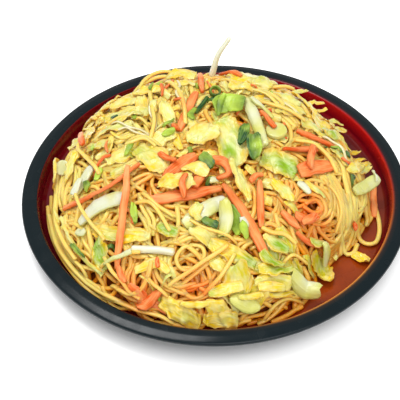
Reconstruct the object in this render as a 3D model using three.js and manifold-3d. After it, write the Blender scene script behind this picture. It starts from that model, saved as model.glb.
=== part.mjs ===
// Yakisoba heaped on a round lacquered plate.
// Millimetres, +Z up, -Y is the front, and the origin is the middle of the plate's foot.

import * as THREE from 'three';
import { mergeVertices } from 'three/addons/utils/BufferGeometryUtils.js';
import Module from 'manifold-3d';

const wasm = await Module();
wasm.setup();

// ---- Driving dimensions -----------------------------------------------------------------

const PLATE_RADIUS = 120; // outer edge of the rim
const PLATE_SEGMENTS = 56;
const RIM_HEIGHT = 22; // the rim's inner edge, its highest line
const RIM_INNER_RADIUS = 109.7;
const LIP_HEIGHT = 19.6; // middle of the rounded outer lip
const LIP_RADIUS = 1.6;
const FLOOR_HEIGHT = 10.6; // top of the eating surface
const FLOOR_RADIUS = 107.2;
const FLOOR_THICKNESS = 3.4;
const FOOT_RADIUS = 66; // outside of the foot ring
const FOOT_WIDTH = 4.5;

const HEAP_RADIUS = 100; // foot of the noodle heap before its dents
const HEAP_HEIGHT = 48; // crown of the bare core above the floor
const HEAP_FLATNESS = 3.5; // higher keeps the top flatter
const HEAP_SHOULDER = 0.7; // lower makes the sides steeper
const HEAP_TILT = 0.08; // rise towards the back, per millimetre
const HEAP_GAP = 0.3; // under the heap, where it rests on the plate
const LUMP_HEIGHT = 1.8;

const NOODLE_RADIUS = 1.3;
const NOODLE_SIDES = 6;
const NOODLE_STEP = 5.2; // length of one facet along a noodle
const NOODLE_RISE = 0.9; // centre line above the core
const NOODLE_CLEARANCE = 0.45; // free space kept to toppings
const NOODLE_SHORTEST = 17;
const NOODLE_LONGEST = 60;
const NOODLE_COUNT = 28;

const CLEARANCE = 0.5; // under a topping, above what it lies on
const CELL = 0.8; // grid of the pile's height map
const MAP_RADIUS = 112;

const CARROT_THICKNESS = 2.2;
const LEAF_THICKNESS = 1.1;
const RIB_THICKNESS = 3.2;
const GREEN_THICKNESS = 1.5;

// ---- Materials --------------------------------------------------------------------------

const finish = (color, roughness) => new THREE.MeshStandardMaterial({ color, roughness, metalness: 0 });
const LACQUER = finish(0x23282a, 0.25);
const NOODLE = finish(0xe6cf83, 0.4);
const CARROT = finish(0xea7a3c, 0.4);
const CABBAGE = finish(0xe9e7a6, 0.45);
const RIB = finish(0xf0f2d8, 0.4);
const SCALLION = finish(0x3f8a2c, 0.4);
const SPROUT = finish(0xf4f5e6, 0.35);

const yakisoba = new THREE.Group();

function add(name, geometry, material) {
  const mesh = new THREE.Mesh(geometry, material.clone());
  mesh.name = name;
  yakisoba.add(mesh);
}

// ---- Plate ------------------------------------------------------------------------------

// One turned wall: flat floor, steep side, a broad rim that falls to a rounded lip, and a foot ring.
function plateProfile() {
  const under = FLOOR_HEIGHT - FLOOR_THICKNESS;
  const points = [
    [0, under],
    [FOOT_RADIUS - FOOT_WIDTH - 1, under],
    [FOOT_RADIUS - FOOT_WIDTH, 0],
    [FOOT_RADIUS, 0],
    [FOOT_RADIUS + 1.5, under],
    [FLOOR_RADIUS - 4, under + 0.6],
    [FLOOR_RADIUS + 2.5, under + 3.4],
    [RIM_INNER_RADIUS + 3.5, RIM_HEIGHT - 4.6],
  ];
  const lip = new THREE.Vector2(PLATE_RADIUS - LIP_RADIUS, LIP_HEIGHT);
  for (const angle of [-70, -15, 40, 85]) {
    const a = THREE.MathUtils.degToRad(angle);
    points.push([lip.x + LIP_RADIUS * Math.cos(a), lip.y + LIP_RADIUS * Math.sin(a)]);
  }
  points.push(
    [PLATE_RADIUS - 5, RIM_HEIGHT + 0.1],
    [RIM_INNER_RADIUS + 1.2, RIM_HEIGHT + 0.2],
    [RIM_INNER_RADIUS, RIM_HEIGHT - 0.5],
    [FLOOR_RADIUS + 1.1, FLOOR_HEIGHT + 2.2],
    [FLOOR_RADIUS - 1.2, FLOOR_HEIGHT],
    [0, FLOOR_HEIGHT],
  );
  return points.map(([r, z]) => new THREE.Vector2(r, z));
}

function plate() {
  const geometry = new THREE.LatheGeometry(plateProfile(), PLATE_SEGMENTS);
  return geometry.rotateX(Math.PI / 2);
}

// ---- Noodle heap: bare core -------------------------------------------------------------

const radians = THREE.MathUtils.degToRad;

// A smooth bump of height 1 around one bearing, in degrees from +X.
function bearingBump(angle, bearing, spread) {
  const gap = THREE.MathUtils.euclideanModulo(THREE.MathUtils.radToDeg(angle) - bearing + 180, 360) - 180;
  return Math.exp(-((gap / spread) ** 2));
}

// Foot of the heap: nearest the wall at the front left, drawn back where the floor shows at the front right.
function heapEdge(angle) {
  return HEAP_RADIUS + 2.5 * Math.cos(angle + radians(110))
    - 17 * bearingBump(angle, -38, 20) - 6 * bearingBump(angle, 25, 25);
}

function heapHeight(x, y) {
  const t = Math.hypot(x, y) / heapEdge(Math.atan2(y, x));
  if (t >= 1) return FLOOR_HEIGHT;
  const dome = HEAP_HEIGHT * (1 - t ** HEAP_FLATNESS) ** HEAP_SHOULDER;
  const tilt = HEAP_TILT * y * (1 - t ** 6);
  const lumps = LUMP_HEIGHT * Math.sin(x / 17 + 1) * Math.sin(y / 14 + 0.4) * (1 - t ** 4);
  return FLOOR_HEIGHT + dome + tilt + lumps;
}

function heapCore() {
  const bearings = 56;
  const rings = [0.14, 0.28, 0.41, 0.53, 0.64, 0.74, 0.82, 0.89, 0.945, 0.98, 1];
  const bottom = FLOOR_HEIGHT + HEAP_GAP;
  const positions = [0, 0, heapHeight(0, 0), 0, 0, bottom];
  for (const t of rings) {
    for (let k = 0; k < bearings; k++) {
      const angle = (k / bearings) * 2 * Math.PI;
      const r = t * heapEdge(angle);
      const [x, y] = [r * Math.cos(angle), r * Math.sin(angle)];
      positions.push(x, y, t === 1 ? bottom : heapHeight(x, y));
    }
  }
  const at = (ring, k) => 2 + ring * bearings + (k % bearings);
  const index = [];
  for (let k = 0; k < bearings; k++) {
    index.push(0, at(0, k), at(0, k + 1));
    for (let ring = 0; ring + 1 < rings.length; ring++) {
      index.push(at(ring, k), at(ring + 1, k), at(ring + 1, k + 1));
      index.push(at(ring, k), at(ring + 1, k + 1), at(ring, k + 1));
    }
    index.push(1, at(rings.length - 1, k + 1), at(rings.length - 1, k));
  }
  return indexed(positions, index);
}

function indexed(positions, index) {
  const geometry = new THREE.BufferGeometry();
  geometry.setAttribute('position', new THREE.Float32BufferAttribute(positions, 3));
  geometry.setIndex(index);
  geometry.computeVertexNormals();
  return geometry;
}

// ---- The pile: what has been laid so far ------------------------------------------------

const MAP_SIZE = 2 * Math.ceil(MAP_RADIUS / CELL) + 1;

// Height maps of the toppings laid so far: the highest top and the lowest underside over each spot.
const pile = {
  top: new Float64Array(MAP_SIZE * MAP_SIZE),
  under: new Float64Array(MAP_SIZE * MAP_SIZE).fill(Infinity),
};

function mapCell(x, y) {
  const column = (x + MAP_RADIUS) / CELL;
  const row = (y + MAP_RADIUS) / CELL;
  return [Math.floor(column), Math.floor(row), column % 1, row % 1];
}

// Marks one surface point on the four map nodes around it.
function mark(x, y, z) {
  const [column, row] = mapCell(x, y);
  for (const node of [row * MAP_SIZE + column, (row + 1) * MAP_SIZE + column]) {
    for (const k of [node, node + 1]) {
      pile.top[k] = Math.max(pile.top[k], z);
      pile.under[k] = Math.min(pile.under[k], z);
    }
  }
}

function pileHeight(x, y) {
  const [column, row, fx, fy] = mapCell(x, y);
  const k = row * MAP_SIZE + column;
  const near = pile.top[k] * (1 - fx) + pile.top[k + 1] * fx;
  const far = pile.top[k + MAP_SIZE] * (1 - fx) + pile.top[k + MAP_SIZE + 1] * fx;
  return Math.max(heapHeight(x, y), near * (1 - fy) + far * fy);
}

// Visits points about half a cell apart all over a triangle mesh.
function visitSurface(geometry, visit) {
  const position = geometry.attributes.position;
  const index = geometry.index.array;
  const [a, b, c] = [new THREE.Vector3(), new THREE.Vector3(), new THREE.Vector3()];
  for (let k = 0; k < index.length; k += 3) {
    a.fromBufferAttribute(position, index[k]);
    b.fromBufferAttribute(position, index[k + 1]).sub(a);
    c.fromBufferAttribute(position, index[k + 2]).sub(a);
    const steps = Math.ceil(Math.max(b.length(), c.length()) / (CELL / 2));
    for (let i = 0; i <= steps; i++) {
      for (let j = 0; i + j <= steps; j++) {
        const [u, v] = [i / steps, j / steps];
        visit(a.x + b.x * u + c.x * v, a.y + b.y * u + c.y * v, a.z + b.z * u + c.z * v);
      }
    }
  }
}

// Raises a finished piece just enough to clear the pile, then makes it part of the pile.
function place(geometry) {
  let short = -Infinity;
  visitSurface(geometry, (x, y, z) => {
    short = Math.max(short, pileHeight(x, y) + CLEARANCE - z);
  });
  geometry.translate(0, 0, Math.max(0, short));
  visitSurface(geometry, mark);
  return geometry;
}

// ---- Laying a sheet: leaves, shreds and slices ------------------------------------------

const straight = (x, y, heading, length) => {
  const a = radians(heading);
  const [dx, dy] = [(Math.cos(a) * length) / 2, (Math.sin(a) * length) / 2];
  return [[x - dx, y - dy], [x + dx, y + dy]];
};

// Outlines give the half width, as a share, at u from 0 to 1 along the piece.
const OUTLINES = {
  shred: (u) => 0.62 + 0.38 * Math.sin(Math.PI * u) ** 0.5,
  leaf: (u) => 0.45 + 0.55 * Math.sin(Math.PI * (0.08 + 0.84 * u)) ** 0.8,
  fan: (u) => 0.35 + 0.65 * Math.sin(Math.PI * (0.05 + 0.55 * u)),
  disc: (u) => Math.max(0.4, Math.sqrt(1 - (2 * u - 1) ** 2)),
};

// Plan of a sheet: rows along the path, columns across it.
function sheetPlan({ path, width, outline, steps, columns }) {
  const curve = new THREE.CatmullRomCurve3(path.map(([x, y]) => new THREE.Vector3(x, y, 0)));
  const plan = [];
  for (let i = 0; i <= steps; i++) {
    const u = i / steps;
    const [centre, along] = [curve.getPointAt(u), curve.getTangentAt(u)];
    const half = (width / 2) * OUTLINES[outline](u);
    const row = [];
    for (let j = 0; j <= columns; j++) {
      const v = (2 * j) / columns - 1;
      row.push(new THREE.Vector3(centre.x - along.y * half * v, centre.y + along.x * half * v, 0));
    }
    plan.push(row);
  }
  return plan;
}

// The heap's general slope, without lumps or a steep foot. Sheets bend with it.
function heapSlope(x, y) {
  const t = Math.min(1, Math.hypot(x, y) / heapEdge(Math.atan2(y, x)));
  return FLOOR_HEIGHT + HEAP_HEIGHT * (1 - t ** HEAP_FLATNESS) + HEAP_TILT * y * (1 - t ** 6);
}

// Lowers the sheet onto the pile. It stays taut over hollows, less a little sag for each step,
// and no point between its corners comes nearer to the pile than the clearance. A stiff sheet
// doesn't bend down with the slope of the heap.
function settle(plan, sag, stiff) {
  const steps = plan.length - 1;
  const columns = plan[0].length - 1;
  const slope = plan.map((row) => row.map((p) => (stiff ? 0 : heapSlope(p.x, p.y))));
  const rise = (i, j) => plan[i][j].z - slope[i][j];
  const hold = (i, j, height) => { plan[i][j].z = Math.max(plan[i][j].z, slope[i][j] + height); };
  for (const row of plan) for (const p of row) p.z = pileHeight(p.x, p.y) + CLEARANCE;
  for (let round = 0; round < 20; round++) {
    for (let j = 0; j <= columns; j++) {
      for (let i = 1; i < steps; i++) hold(i, j, (rise(i - 1, j) + rise(i + 1, j)) / 2 - sag);
      hold(0, j, rise(1, j) - 2 * sag);
      hold(steps, j, rise(steps - 1, j) - 2 * sag);
    }
    for (let i = 0; i <= steps; i++) {
      for (let j = 1; j < columns; j++) hold(i, j, (rise(i, j - 1) + rise(i, j + 1)) / 2 - sag);
    }
    liftClear(plan);
  }
}

// Raises the corners of each cell until points all over it are clear of the pile.
function liftClear(plan) {
  const parts = 5;
  for (let i = 0; i + 1 < plan.length; i++) {
    for (let j = 0; j + 1 < plan[0].length; j++) {
      const corners = [plan[i][j], plan[i + 1][j], plan[i][j + 1], plan[i + 1][j + 1]];
      for (let a = 0; a <= parts; a++) {
        for (let b = 0; b <= parts; b++) {
          const [u, v] = [a / parts, b / parts];
          const weights = [(1 - u) * (1 - v), u * (1 - v), (1 - u) * v, u * v];
          const sum = (axis) => corners.reduce((total, p, k) => total + p[axis] * weights[k], 0);
          const short = pileHeight(sum('x'), sum('y')) + CLEARANCE - sum('z');
          if (short > 0) corners.forEach((p, k) => { p.z += short * Math.min(1, 1.6 * weights[k]); });
        }
      }
    }
  }
}

// Adds the sheet's own form, which only ever rises: edges that curl up, ends that lift, and waves.
function shapeSheet(plan, { curl = 0, lift = 0, wave = 0, arch = 0 }) {
  const steps = plan.length - 1;
  const columns = plan[0].length - 1;
  plan.forEach((row, i) => row.forEach((p, j) => {
    const u = i / steps;
    const v = (2 * j) / columns - 1;
    p.z += curl * v * v + arch * (1 - v * v) + lift * Math.max(0, 2 * u - 1) ** 2
      + wave * (0.5 + 0.5 * Math.sin(7 * u + 2.4 * v + 0.3 * p.x));
  }));
}

// Unit normals of the sheet from the slopes between neighbouring points.
function sheetNormals(plan) {
  const [along, across] = [new THREE.Vector3(), new THREE.Vector3()];
  const last = [plan.length - 1, plan[0].length - 1];
  return plan.map((row, i) => row.map((_, j) => {
    along.subVectors(plan[Math.min(i + 1, last[0])][j], plan[Math.max(i - 1, 0)][j]);
    across.subVectors(plan[i][Math.min(j + 1, last[1])], plan[i][Math.max(j - 1, 0)]);
    return new THREE.Vector3().crossVectors(along, across).normalize();
  }));
}

// A closed sheet: the laid underside, and a top face that stands off it, both split alike.
function closedSheet(plan, thickness) {
  const normals = sheetNormals(plan);
  const [rows, columns] = [plan.length, plan[0].length];
  const positions = [];
  for (const side of [0, 1]) {
    plan.forEach((row, i) => row.forEach((p, j) => {
      const top = p.clone().addScaledVector(normals[i][j], side * thickness);
      positions.push(top.x, top.y, top.z);
    }));
  }
  const at = (i, j, side) => side * rows * columns + i * columns + j;
  const index = [];
  for (let i = 0; i + 1 < rows; i++) {
    for (let j = 0; j + 1 < columns; j++) {
      index.push(at(i, j, 1), at(i + 1, j, 1), at(i + 1, j + 1, 1));
      index.push(at(i, j, 1), at(i + 1, j + 1, 1), at(i, j + 1, 1));
      index.push(at(i, j, 0), at(i + 1, j + 1, 0), at(i + 1, j, 0));
      index.push(at(i, j, 0), at(i, j + 1, 0), at(i + 1, j + 1, 0));
    }
  }
  const border = [];
  for (let i = 0; i + 1 < rows; i++) border.push([i, 0]);
  for (let j = 0; j + 1 < columns; j++) border.push([rows - 1, j]);
  for (let i = rows - 1; i > 0; i--) border.push([i, columns - 1]);
  for (let j = columns - 1; j > 0; j--) border.push([0, j]);
  border.forEach(([i, j], k) => {
    const [m, n] = border[(k + 1) % border.length];
    index.push(at(i, j, 0), at(m, n, 0), at(m, n, 1), at(i, j, 0), at(m, n, 1), at(i, j, 1));
  });
  return indexed(positions, index);
}

function sheet(name, material, options) {
  const settings = { outline: 'shred', steps: 6, columns: 1, sag: 0.1, stiff: false, ...options };
  const plan = sheetPlan(settings);
  settle(plan, settings.sag, settings.stiff);
  shapeSheet(plan, settings);
  add(name, place(closedSheet(plan, settings.thickness)), material);
}

const carrot = (name, path, width, options = {}) => sheet(`carrot_${name}`, CARROT, {
  path, width, thickness: CARROT_THICKNESS, sag: 0.12, ...options,
});

const leaf = (name, path, width, options = {}) => sheet(`cabbage_${name}`, CABBAGE, {
  path, width, thickness: LEAF_THICKNESS, outline: 'leaf', columns: 3, sag: 0.25, curl: 1, wave: 1.2,
  ...options,
});

const rib = (name, path, width, options = {}) => sheet(`rib_${name}`, RIB, {
  path, width, thickness: RIB_THICKNESS, columns: 2, sag: 0.1, ...options,
});

const green = (name, path, width, options = {}) => sheet(`scallion_${name}`, SCALLION, {
  path, width, thickness: GREEN_THICKNESS, outline: 'leaf', columns: 2, steps: 4, curl: 0.8, ...options,
});

// ---- Round pieces: sticks, slices and rings ---------------------------------------------

const toVector = ([x, y, z]) => new THREE.Vector3(x, y, z);

// A tube along a smooth curve, with flat ends.
function tube(points, radius, sides, steps) {
  const ring = new THREE.Shape();
  for (let k = 0; k < sides; k++) {
    const a = (k / sides) * 2 * Math.PI;
    if (k === 0) ring.moveTo(radius, 0);
    else ring.lineTo(radius * Math.cos(a), radius * Math.sin(a));
  }
  const extrudePath = new THREE.CatmullRomCurve3(points.map(toVector));
  const geometry = new THREE.ExtrudeGeometry(ring, { steps, extrudePath, bevelEnabled: false });
  return welded(geometry);
}

function welded(geometry) {
  geometry.deleteAttribute('normal');
  geometry.deleteAttribute('uv');
  return mergeVertices(geometry, 1e-4);
}

// A round stick laid on the pile. Each path point may carry a lift above where it would rest.
function stick(name, material, path, radius, sides = 7) {
  const points = path.map(([x, y, lift = 0]) => {
    return [x, y, pileHeight(x, y) + CLEARANCE + radius + lift];
  });
  add(name, place(tube(points, radius, sides, 2 * path.length)), material);
}

// A turned slice, tipped over and dropped straight down until it rests on the pile.
function slice(name, material, x, y, { outer, inner = 0, height, tilt = 0, turn = 0 }) {
  const profile = [[inner, -height / 2], [outer, -height / 2], [outer, height / 2], [inner, height / 2]];
  if (inner > 0) profile.push(profile[0]);
  const lathe = new THREE.LatheGeometry(profile.map(([r, z]) => new THREE.Vector2(r, z)), 14);
  const geometry = welded(lathe.rotateX(Math.PI / 2).rotateX(radians(tilt)).rotateZ(radians(turn)));
  add(name, place(geometry.translate(x, y, 0)), material);
}

// ---- Toppings, laid from the bottom of the pile to the top ------------------------------

function layCabbageBase() {
  leaf('crown', [[3, 18], [9, 3], [12, -17]], 20, { steps: 7, wave: 1.6 });
  leaf('left_middle', [[-48, -1], [-39, -9], [-29, -22]], 16);
  leaf('back_left', [[-69, 33], [-56, 32], [-41, 29]], 14, { wave: 1.8 });
  leaf('left_high', [[-77, 35], [-79, 26], [-81, 15]], 10, { curl: 2 });
  leaf('dome', [[9, 61], [23, 65], [37, 57]], 22, { steps: 7, arch: 4, curl: 0 });
  leaf('band', [[19, 35], [38, 38], [57, 35]], 10, { steps: 7 });
  leaf('back_right', [[60, 43], [65, 35], [69, 25]], 10);
  leaf('right_pale', [[27, -12], [38, -14], [48, -20]], 16, { wave: 1.8 });
  leaf('yellow_bar', [[-71, -49], [-56, -57], [-37, -61]], 8);
  leaf('left_front', [[-69, -57], [-66, -64], [-62, -71]], 8);
  leaf('front_middle', [[-4, -69], [10, -74], [23, -78]], 9);
  leaf('front_crinkled', [[10, -81], [13, -87], [16, -92]], 16, { wave: 1.8 });
  leaf('yellow_front', [[37, -72], [44, -75], [51, -75]], 9, { wave: 1.6 });
  leaf('rim_left', [[-31, -92], [-20, -97], [-8, -101]], 7, { wave: 1.4, curl: 1 });
  leaf('rim_middle', [[-7, -101], [3, -101], [13, -100]], 5, { curl: 0.6 });
  leaf('front_fall', [[62, -54], [63, -62], [64, -70]], 13, { sag: 0.05, lift: 2 });
  leaf('floor_front_right', [[82, -45], [87, -49], [92, -52]], 8, { steps: 4 });
}

function layRibs() {
  rib('big_left', [[-79, -41], [-67, -36], [-50, -37]], 10, { outline: 'leaf' });
  rib('left_strip', [[-73, -7], [-78, -14], [-83, -21]], 7);
  rib('centre', [[-18, -57], [-6, -49], [6, -41]], 11, { outline: 'leaf' });
  rib('back_slant', [[20, 32], [25, 14], [30, -6]], 5);
  rib('onion', [[43, -79], [52, -81], [60, -82]], 7, { outline: 'leaf', steps: 4, thickness: 2.4 });
  rib('front_chunk', [[8, -95], [16, -96], [25, -96]], 7, { outline: 'disc', steps: 4 });
  slice('rib_round_pale', RIB, 37, 10, { outer: 6.5, height: 3 });
  slice('rib_left_disc', RIB, -94, 4.5, { outer: 4.8, height: 2.4, tilt: 40, turn: -30 });
}

function layCarrots() {
  carrot('left_long', [[-91, -25], [-77, -29], [-62, -29], [-44, -18]], 4.5, { steps: 8 });
  carrot('left_down', [[-51, -22], [-52, -40], [-54, -57], [-56, -74]], 4.5, { steps: 9 });
  carrot('centre_big', [[-38, -41], [-18, -39], [4, -35]], 8, { steps: 7 });
  carrot('centre_back', straight(-21, -19, 45, 26), 6.5);
  carrot('centre_low', straight(-9, -27, 72, 19), 6);
  carrot('centre_curl', [[-2, -13], [6, -17], [9, -23], [1, -27]], 4.5, { steps: 8 });
  carrot('back_tall', [[-10, 75], [-9, 60], [-8, 43]], 3.5, { lift: 2 });
  carrot('back_lower', [[-12, 45], [-16, 30], [-22, 11]], 5.5);
  carrot('left_high', [[-83, 26], [-82, 18], [-80, 10]], 3.5, { curl: 0.8 });
  carrot('right_long', [[5, -34], [14, -48], [21, -60], [30, -75]], 6.5, { steps: 8 });
  carrot('right_upright', straight(26, -42, 90, 32), 4);
  carrot('right_thin', straight(61, 14, -7, 24), 3.5);
  carrot('right_flat', straight(51, -2, 24, 23), 4.5);
  carrot('right_thick', straight(60, -13, 33, 27), 8);
  carrot('right_edge', [[101, 13], [99, 0], [98, -16]], 4.5);
  carrot('right_low', [[46, -56], [54, -57], [61, -55]], 4.5);
  carrot('front_rim', [[-30, -89], [-37, -92], [-44, -93]], 6, { outline: 'leaf', steps: 5 });
}

function layCabbageTop() {
  leaf('centre_cup', [[-17, 2], [-7, 5], [3, 3]], 15, { curl: 2.5, wave: 0.6 });
  leaf('crinkled', [[-33, -36], [-23, -33], [-13, -32]], 12, { outline: 'fan', wave: 2 });
  leaf('curled_strip', [[10, -19], [15, -30], [19, -44]], 8, { curl: 2 });
}

function layGreens() {
  slice('scallion_ring', SCALLION, 0, 42, { outer: 3.8, inner: 2.2, height: 5, tilt: 25, turn: 20 });
  stick('scallion_stick', SCALLION, [[-5, 39], [-8, 32], [-12, 25]], 1.4);
  green('pale_leaf', [[-1, 26], [8, 30], [18, 26]], 12, { steps: 5 });
  green('dark_leaf', straight(17, 3, 75, 16), 7);
  green('bundle', straight(23, -9, 93, 17), 10, { curl: 2 });
  green('green_white', straight(-5, -17, -55, 12), 7);
  green('centre_leaf', [[8, -49], [11, -56], [14, -64]], 7);
  green('bright_strip', straight(-47, -47, -80, 12), 4.5);
}

function layLast() {
  rib('centre_leg', [[6, -48], [7, -57], [5, -66]], 7, { arch: 1 });
  rib('right_strip', [[83, -16], [91, -7], [100, 3]], 6, { stiff: true });
  leaf('right_edge', [[89, 8], [93, 14], [98, 21]], 6, { stiff: true, sag: 0.1, wave: 0.8 });
  stick('sprout_bar', SPROUT, [[-47, -67], [-36, -69], [-24, -72]], 2.4);
  stick('sprout_tall', SPROUT, [[-2, 71, 0], [-1, 71.5, 9], [2, 74, 19], [9, 78, 29]], 1.9, 8);
}

// ---- Noodles on the core ----------------------------------------------------------------

// Seeded random numbers from 0 to 1, the same on every run.
function randomSource(seed) {
  let state = seed;
  return () => {
    state = (state * 1664525 + 1013904223) % 4294967296;
    return state / 4294967296;
  };
}

// Chosen noodles: [x, y, lift above where it rests]. An end with a negative lift dives into the heap.
const CHOSEN_NOODLES = [
  [[88, -10, -1], [90, -26, 0], [94, -35, 0], [98.5, -32, 0], [98, -22, 0]], // loop out on the floor
  [[-50, 54, -2], [-45, 65, 5], [-36, 72, 7], [-27, 70, 4], [-22, 60, -2]], // arch at the back left
  [[-98, -8, 0], [-98, -24, 0], [-92, -42, 0], [-83, -56, 0], [-74, -69, 0]], // along the left edge
  [[-25, -91, 0], [-14, -87, 0], [-3, -80, 0], [8, -72, 0]], // straight one at the front
  [[-23, -80, 0], [-21, -72, 0], [-12, -70, 0], [-7, -75, 0], [-12, -81, 0], [-20, -80, 0]], // front swirl
  [[-26, -85, 0], [-30, -76, 0], [-26, -66, 0], [-14, -63, 0], [-5, -67, 0]], // round the front swirl
  [[76, -8, 0], [79, -22, 0], [79, -36, 0], [76, -46, 0]], // down the right side
  [[70, -11, 0], [73, -24, 0], [73, -38, 0], [69, -49, 0]],
  [[48, -34, 0], [52, -29, 0], [60, -29, 0], [66, -35, 0], [66, -42, 0], [60, -47, 0]], // right swirl
  [[-42, -38, 0], [-39, -48, 0], [-40, -59, 0]], // down the middle left
  [[30, 55, -1], [40, 57, 2], [49, 60, 5]], // tip that sticks out at the back right
];

// Curved noodles of a rule: a slowly opening arc about a random centre.
function ruledNoodles(count, random) {
  const noodles = [];
  for (let k = 0; k < count; k++) {
    const [distance, bearing] = [88 * Math.sqrt(random()), 2 * Math.PI * random()];
    const [cx, cy] = [distance * Math.cos(bearing), distance * Math.sin(bearing)];
    const [radius, start, sweep] = [10 + 30 * random(), 2 * Math.PI * random(), 2 + 3 * random()];
    const points = [];
    for (let s = 0; s <= 1.001; s += 0.04) {
      const [a, r] = [start + sweep * s, radius * (0.8 + 0.4 * s)];
      points.push([cx + r * Math.cos(a), cy + r * Math.sin(a), 0]);
    }
    noodles.push(points);
  }
  return noodles;
}

// Height of a noodle's centre line where it lies, in the core or out on the plate's floor.
function noodleHeight(x, y, lift) {
  const onFloor = FLOOR_HEIGHT + HEAP_GAP + NOODLE_RADIUS + 0.1;
  return Math.max(onFloor, heapHeight(x, y) + NOODLE_RISE) + lift;
}

// True where a noodle fits at a point: inside the plate and under or beside every topping.
function noodleFits([x, y, z]) {
  const reach = NOODLE_RADIUS + NOODLE_CLEARANCE;
  if (Math.hypot(x, y) > FLOOR_RADIUS - 1.5 - reach) return false;
  const cells = Math.ceil(reach / CELL);
  const [column, row] = mapCell(x, y);
  for (let i = -cells; i <= cells + 1; i++) {
    for (let j = -cells; j <= cells + 1; j++) {
      if (pile.under[(row + i) * MAP_SIZE + column + j] < z + reach) return false;
    }
  }
  return true;
}

// Cuts a noodle's centre line into the stretches that fit, each with evenly spaced points.
function fittingStretches(points) {
  const curve = new THREE.CatmullRomCurve3(points.map(toVector));
  const samples = curve.getSpacedPoints(Math.ceil(curve.getLength()));
  const stretches = [[]];
  for (const p of samples) {
    const point = [p.x, p.y, noodleHeight(p.x, p.y, p.z)];
    if (noodleFits(point)) stretches.at(-1).push(point);
    else if (stretches.at(-1).length) stretches.push([]);
  }
  return stretches.filter((stretch) => stretch.length > NOODLE_SHORTEST);
}

// Adds ruled stretches to the chosen ones, each time the longest that lies farthest from all laid so far.
function spreadEvenly(chosen, ruled, count) {
  const laid = [];
  const gaps = ruled.map((stretch) => stretch.map(() => HEAP_RADIUS));
  const lay = (added) => {
    laid.push(added);
    ruled.forEach((stretch, s) => stretch.forEach(([x, y], k) => {
      for (const [a, b] of added) gaps[s][k] = Math.min(gaps[s][k], Math.hypot(x - a, y - b));
    }));
  };
  chosen.forEach(lay);
  while (laid.length < count) {
    const room = gaps.map((gap) => gap.reduce((sum, g) => sum + g, 0));
    lay(ruled[room.indexOf(Math.max(...room))]);
  }
  return laid;
}

function toManifold(geometry) {
  return new wasm.Manifold(new wasm.Mesh({
    numProp: 3,
    vertProperties: Float32Array.from(geometry.attributes.position.array),
    triVerts: Uint32Array.from(geometry.index.array),
  }));
}

function noodleSolid(stretch) {
  const length = stretch.length - 1;
  const steps = Math.max(3, Math.round(length / NOODLE_STEP));
  const points = [];
  for (let k = 0; k <= steps; k++) points.push(stretch[Math.round((k * length) / steps)]);
  return toManifold(tube(points, NOODLE_RADIUS, NOODLE_SIDES, steps));
}

// The heap is one solid: the bare core with the noodles that show fused on. Loose scraps are dropped.
function noodles() {
  const chosen = CHOSEN_NOODLES.flatMap(fittingStretches);
  const ruled = ruledNoodles(260, randomSource(7)).flatMap(fittingStretches);
  const shortened = ruled.map((stretch) => stretch.slice(0, NOODLE_LONGEST));
  let heap = toManifold(heapCore());
  for (const stretch of spreadEvenly(chosen, shortened, NOODLE_COUNT)) heap = heap.add(noodleSolid(stretch));
  const [largest] = heap.decompose().sort((a, b) => b.volume() - a.volume());
  const { vertProperties, triVerts } = largest.getMesh();
  return indexed(Array.from(vertProperties), Array.from(triVerts));
}

// ---- Assembly ---------------------------------------------------------------------------

add('plate', plate(), LACQUER);
layCabbageBase();
layRibs();
layCarrots();
layCabbageTop();
layGreens();
layLast();
add('noodles', noodles(), NOODLE);

export default yakisoba;
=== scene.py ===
import bpy
import numpy as np
from bpy.props import FloatProperty, FloatVectorProperty, IntProperty, PointerProperty
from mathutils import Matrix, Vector


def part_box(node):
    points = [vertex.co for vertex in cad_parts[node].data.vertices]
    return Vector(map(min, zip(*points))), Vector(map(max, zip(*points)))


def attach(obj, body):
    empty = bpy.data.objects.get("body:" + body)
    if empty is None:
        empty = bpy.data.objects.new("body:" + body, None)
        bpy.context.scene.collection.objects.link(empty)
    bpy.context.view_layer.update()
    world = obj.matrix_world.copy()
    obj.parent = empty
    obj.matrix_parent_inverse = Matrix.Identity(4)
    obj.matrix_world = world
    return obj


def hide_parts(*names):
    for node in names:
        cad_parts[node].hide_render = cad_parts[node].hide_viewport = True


bl_info = {
    "name": "Yakisoba on a plate",
    "version": (1, 0, 0),
    "blender": (4, 5, 0),
    "location": "3D View > Sidebar > Yakisoba",
    "description": "Lays fried noodles, carrot, cabbage and green onion on a lacquered plate",
    "category": "Add Mesh",
}

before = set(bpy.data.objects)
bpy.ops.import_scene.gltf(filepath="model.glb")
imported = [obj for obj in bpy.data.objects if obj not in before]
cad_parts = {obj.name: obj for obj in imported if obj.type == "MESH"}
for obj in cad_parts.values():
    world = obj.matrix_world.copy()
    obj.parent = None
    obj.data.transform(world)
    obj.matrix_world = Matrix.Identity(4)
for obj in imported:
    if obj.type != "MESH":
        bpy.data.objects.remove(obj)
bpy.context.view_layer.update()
MM = 0.001

# ---- Heap and plate, in millimetres, as in the solids --------------------------------------------

FLOOR_HEIGHT = 10.6
HEAP_RADIUS, HEAP_HEIGHT, HEAP_FLATNESS, HEAP_SHOULDER, HEAP_TILT = 100, 48, 3.5, 0.7, 0.08
HEAP_SHIFT, HEAP_SHIFT_BEARING = 2.5, -110
HEAP_DENTS = [(17, -38, 20), (6, 25, 25)]  # depth, then bearing and spread in degrees
LUMP_HEIGHT, LUMP_ALONG, LUMP_ACROSS = 1.8, 17, 14
SAUCE_SHADE_FROM, SAUCE_SHADE_SPAN = 0.5, 5.5  # under the top of the heap, and from there to full strength
NOODLE_LIMIT = 104.0  # no noodle's middle lies farther out than this


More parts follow.
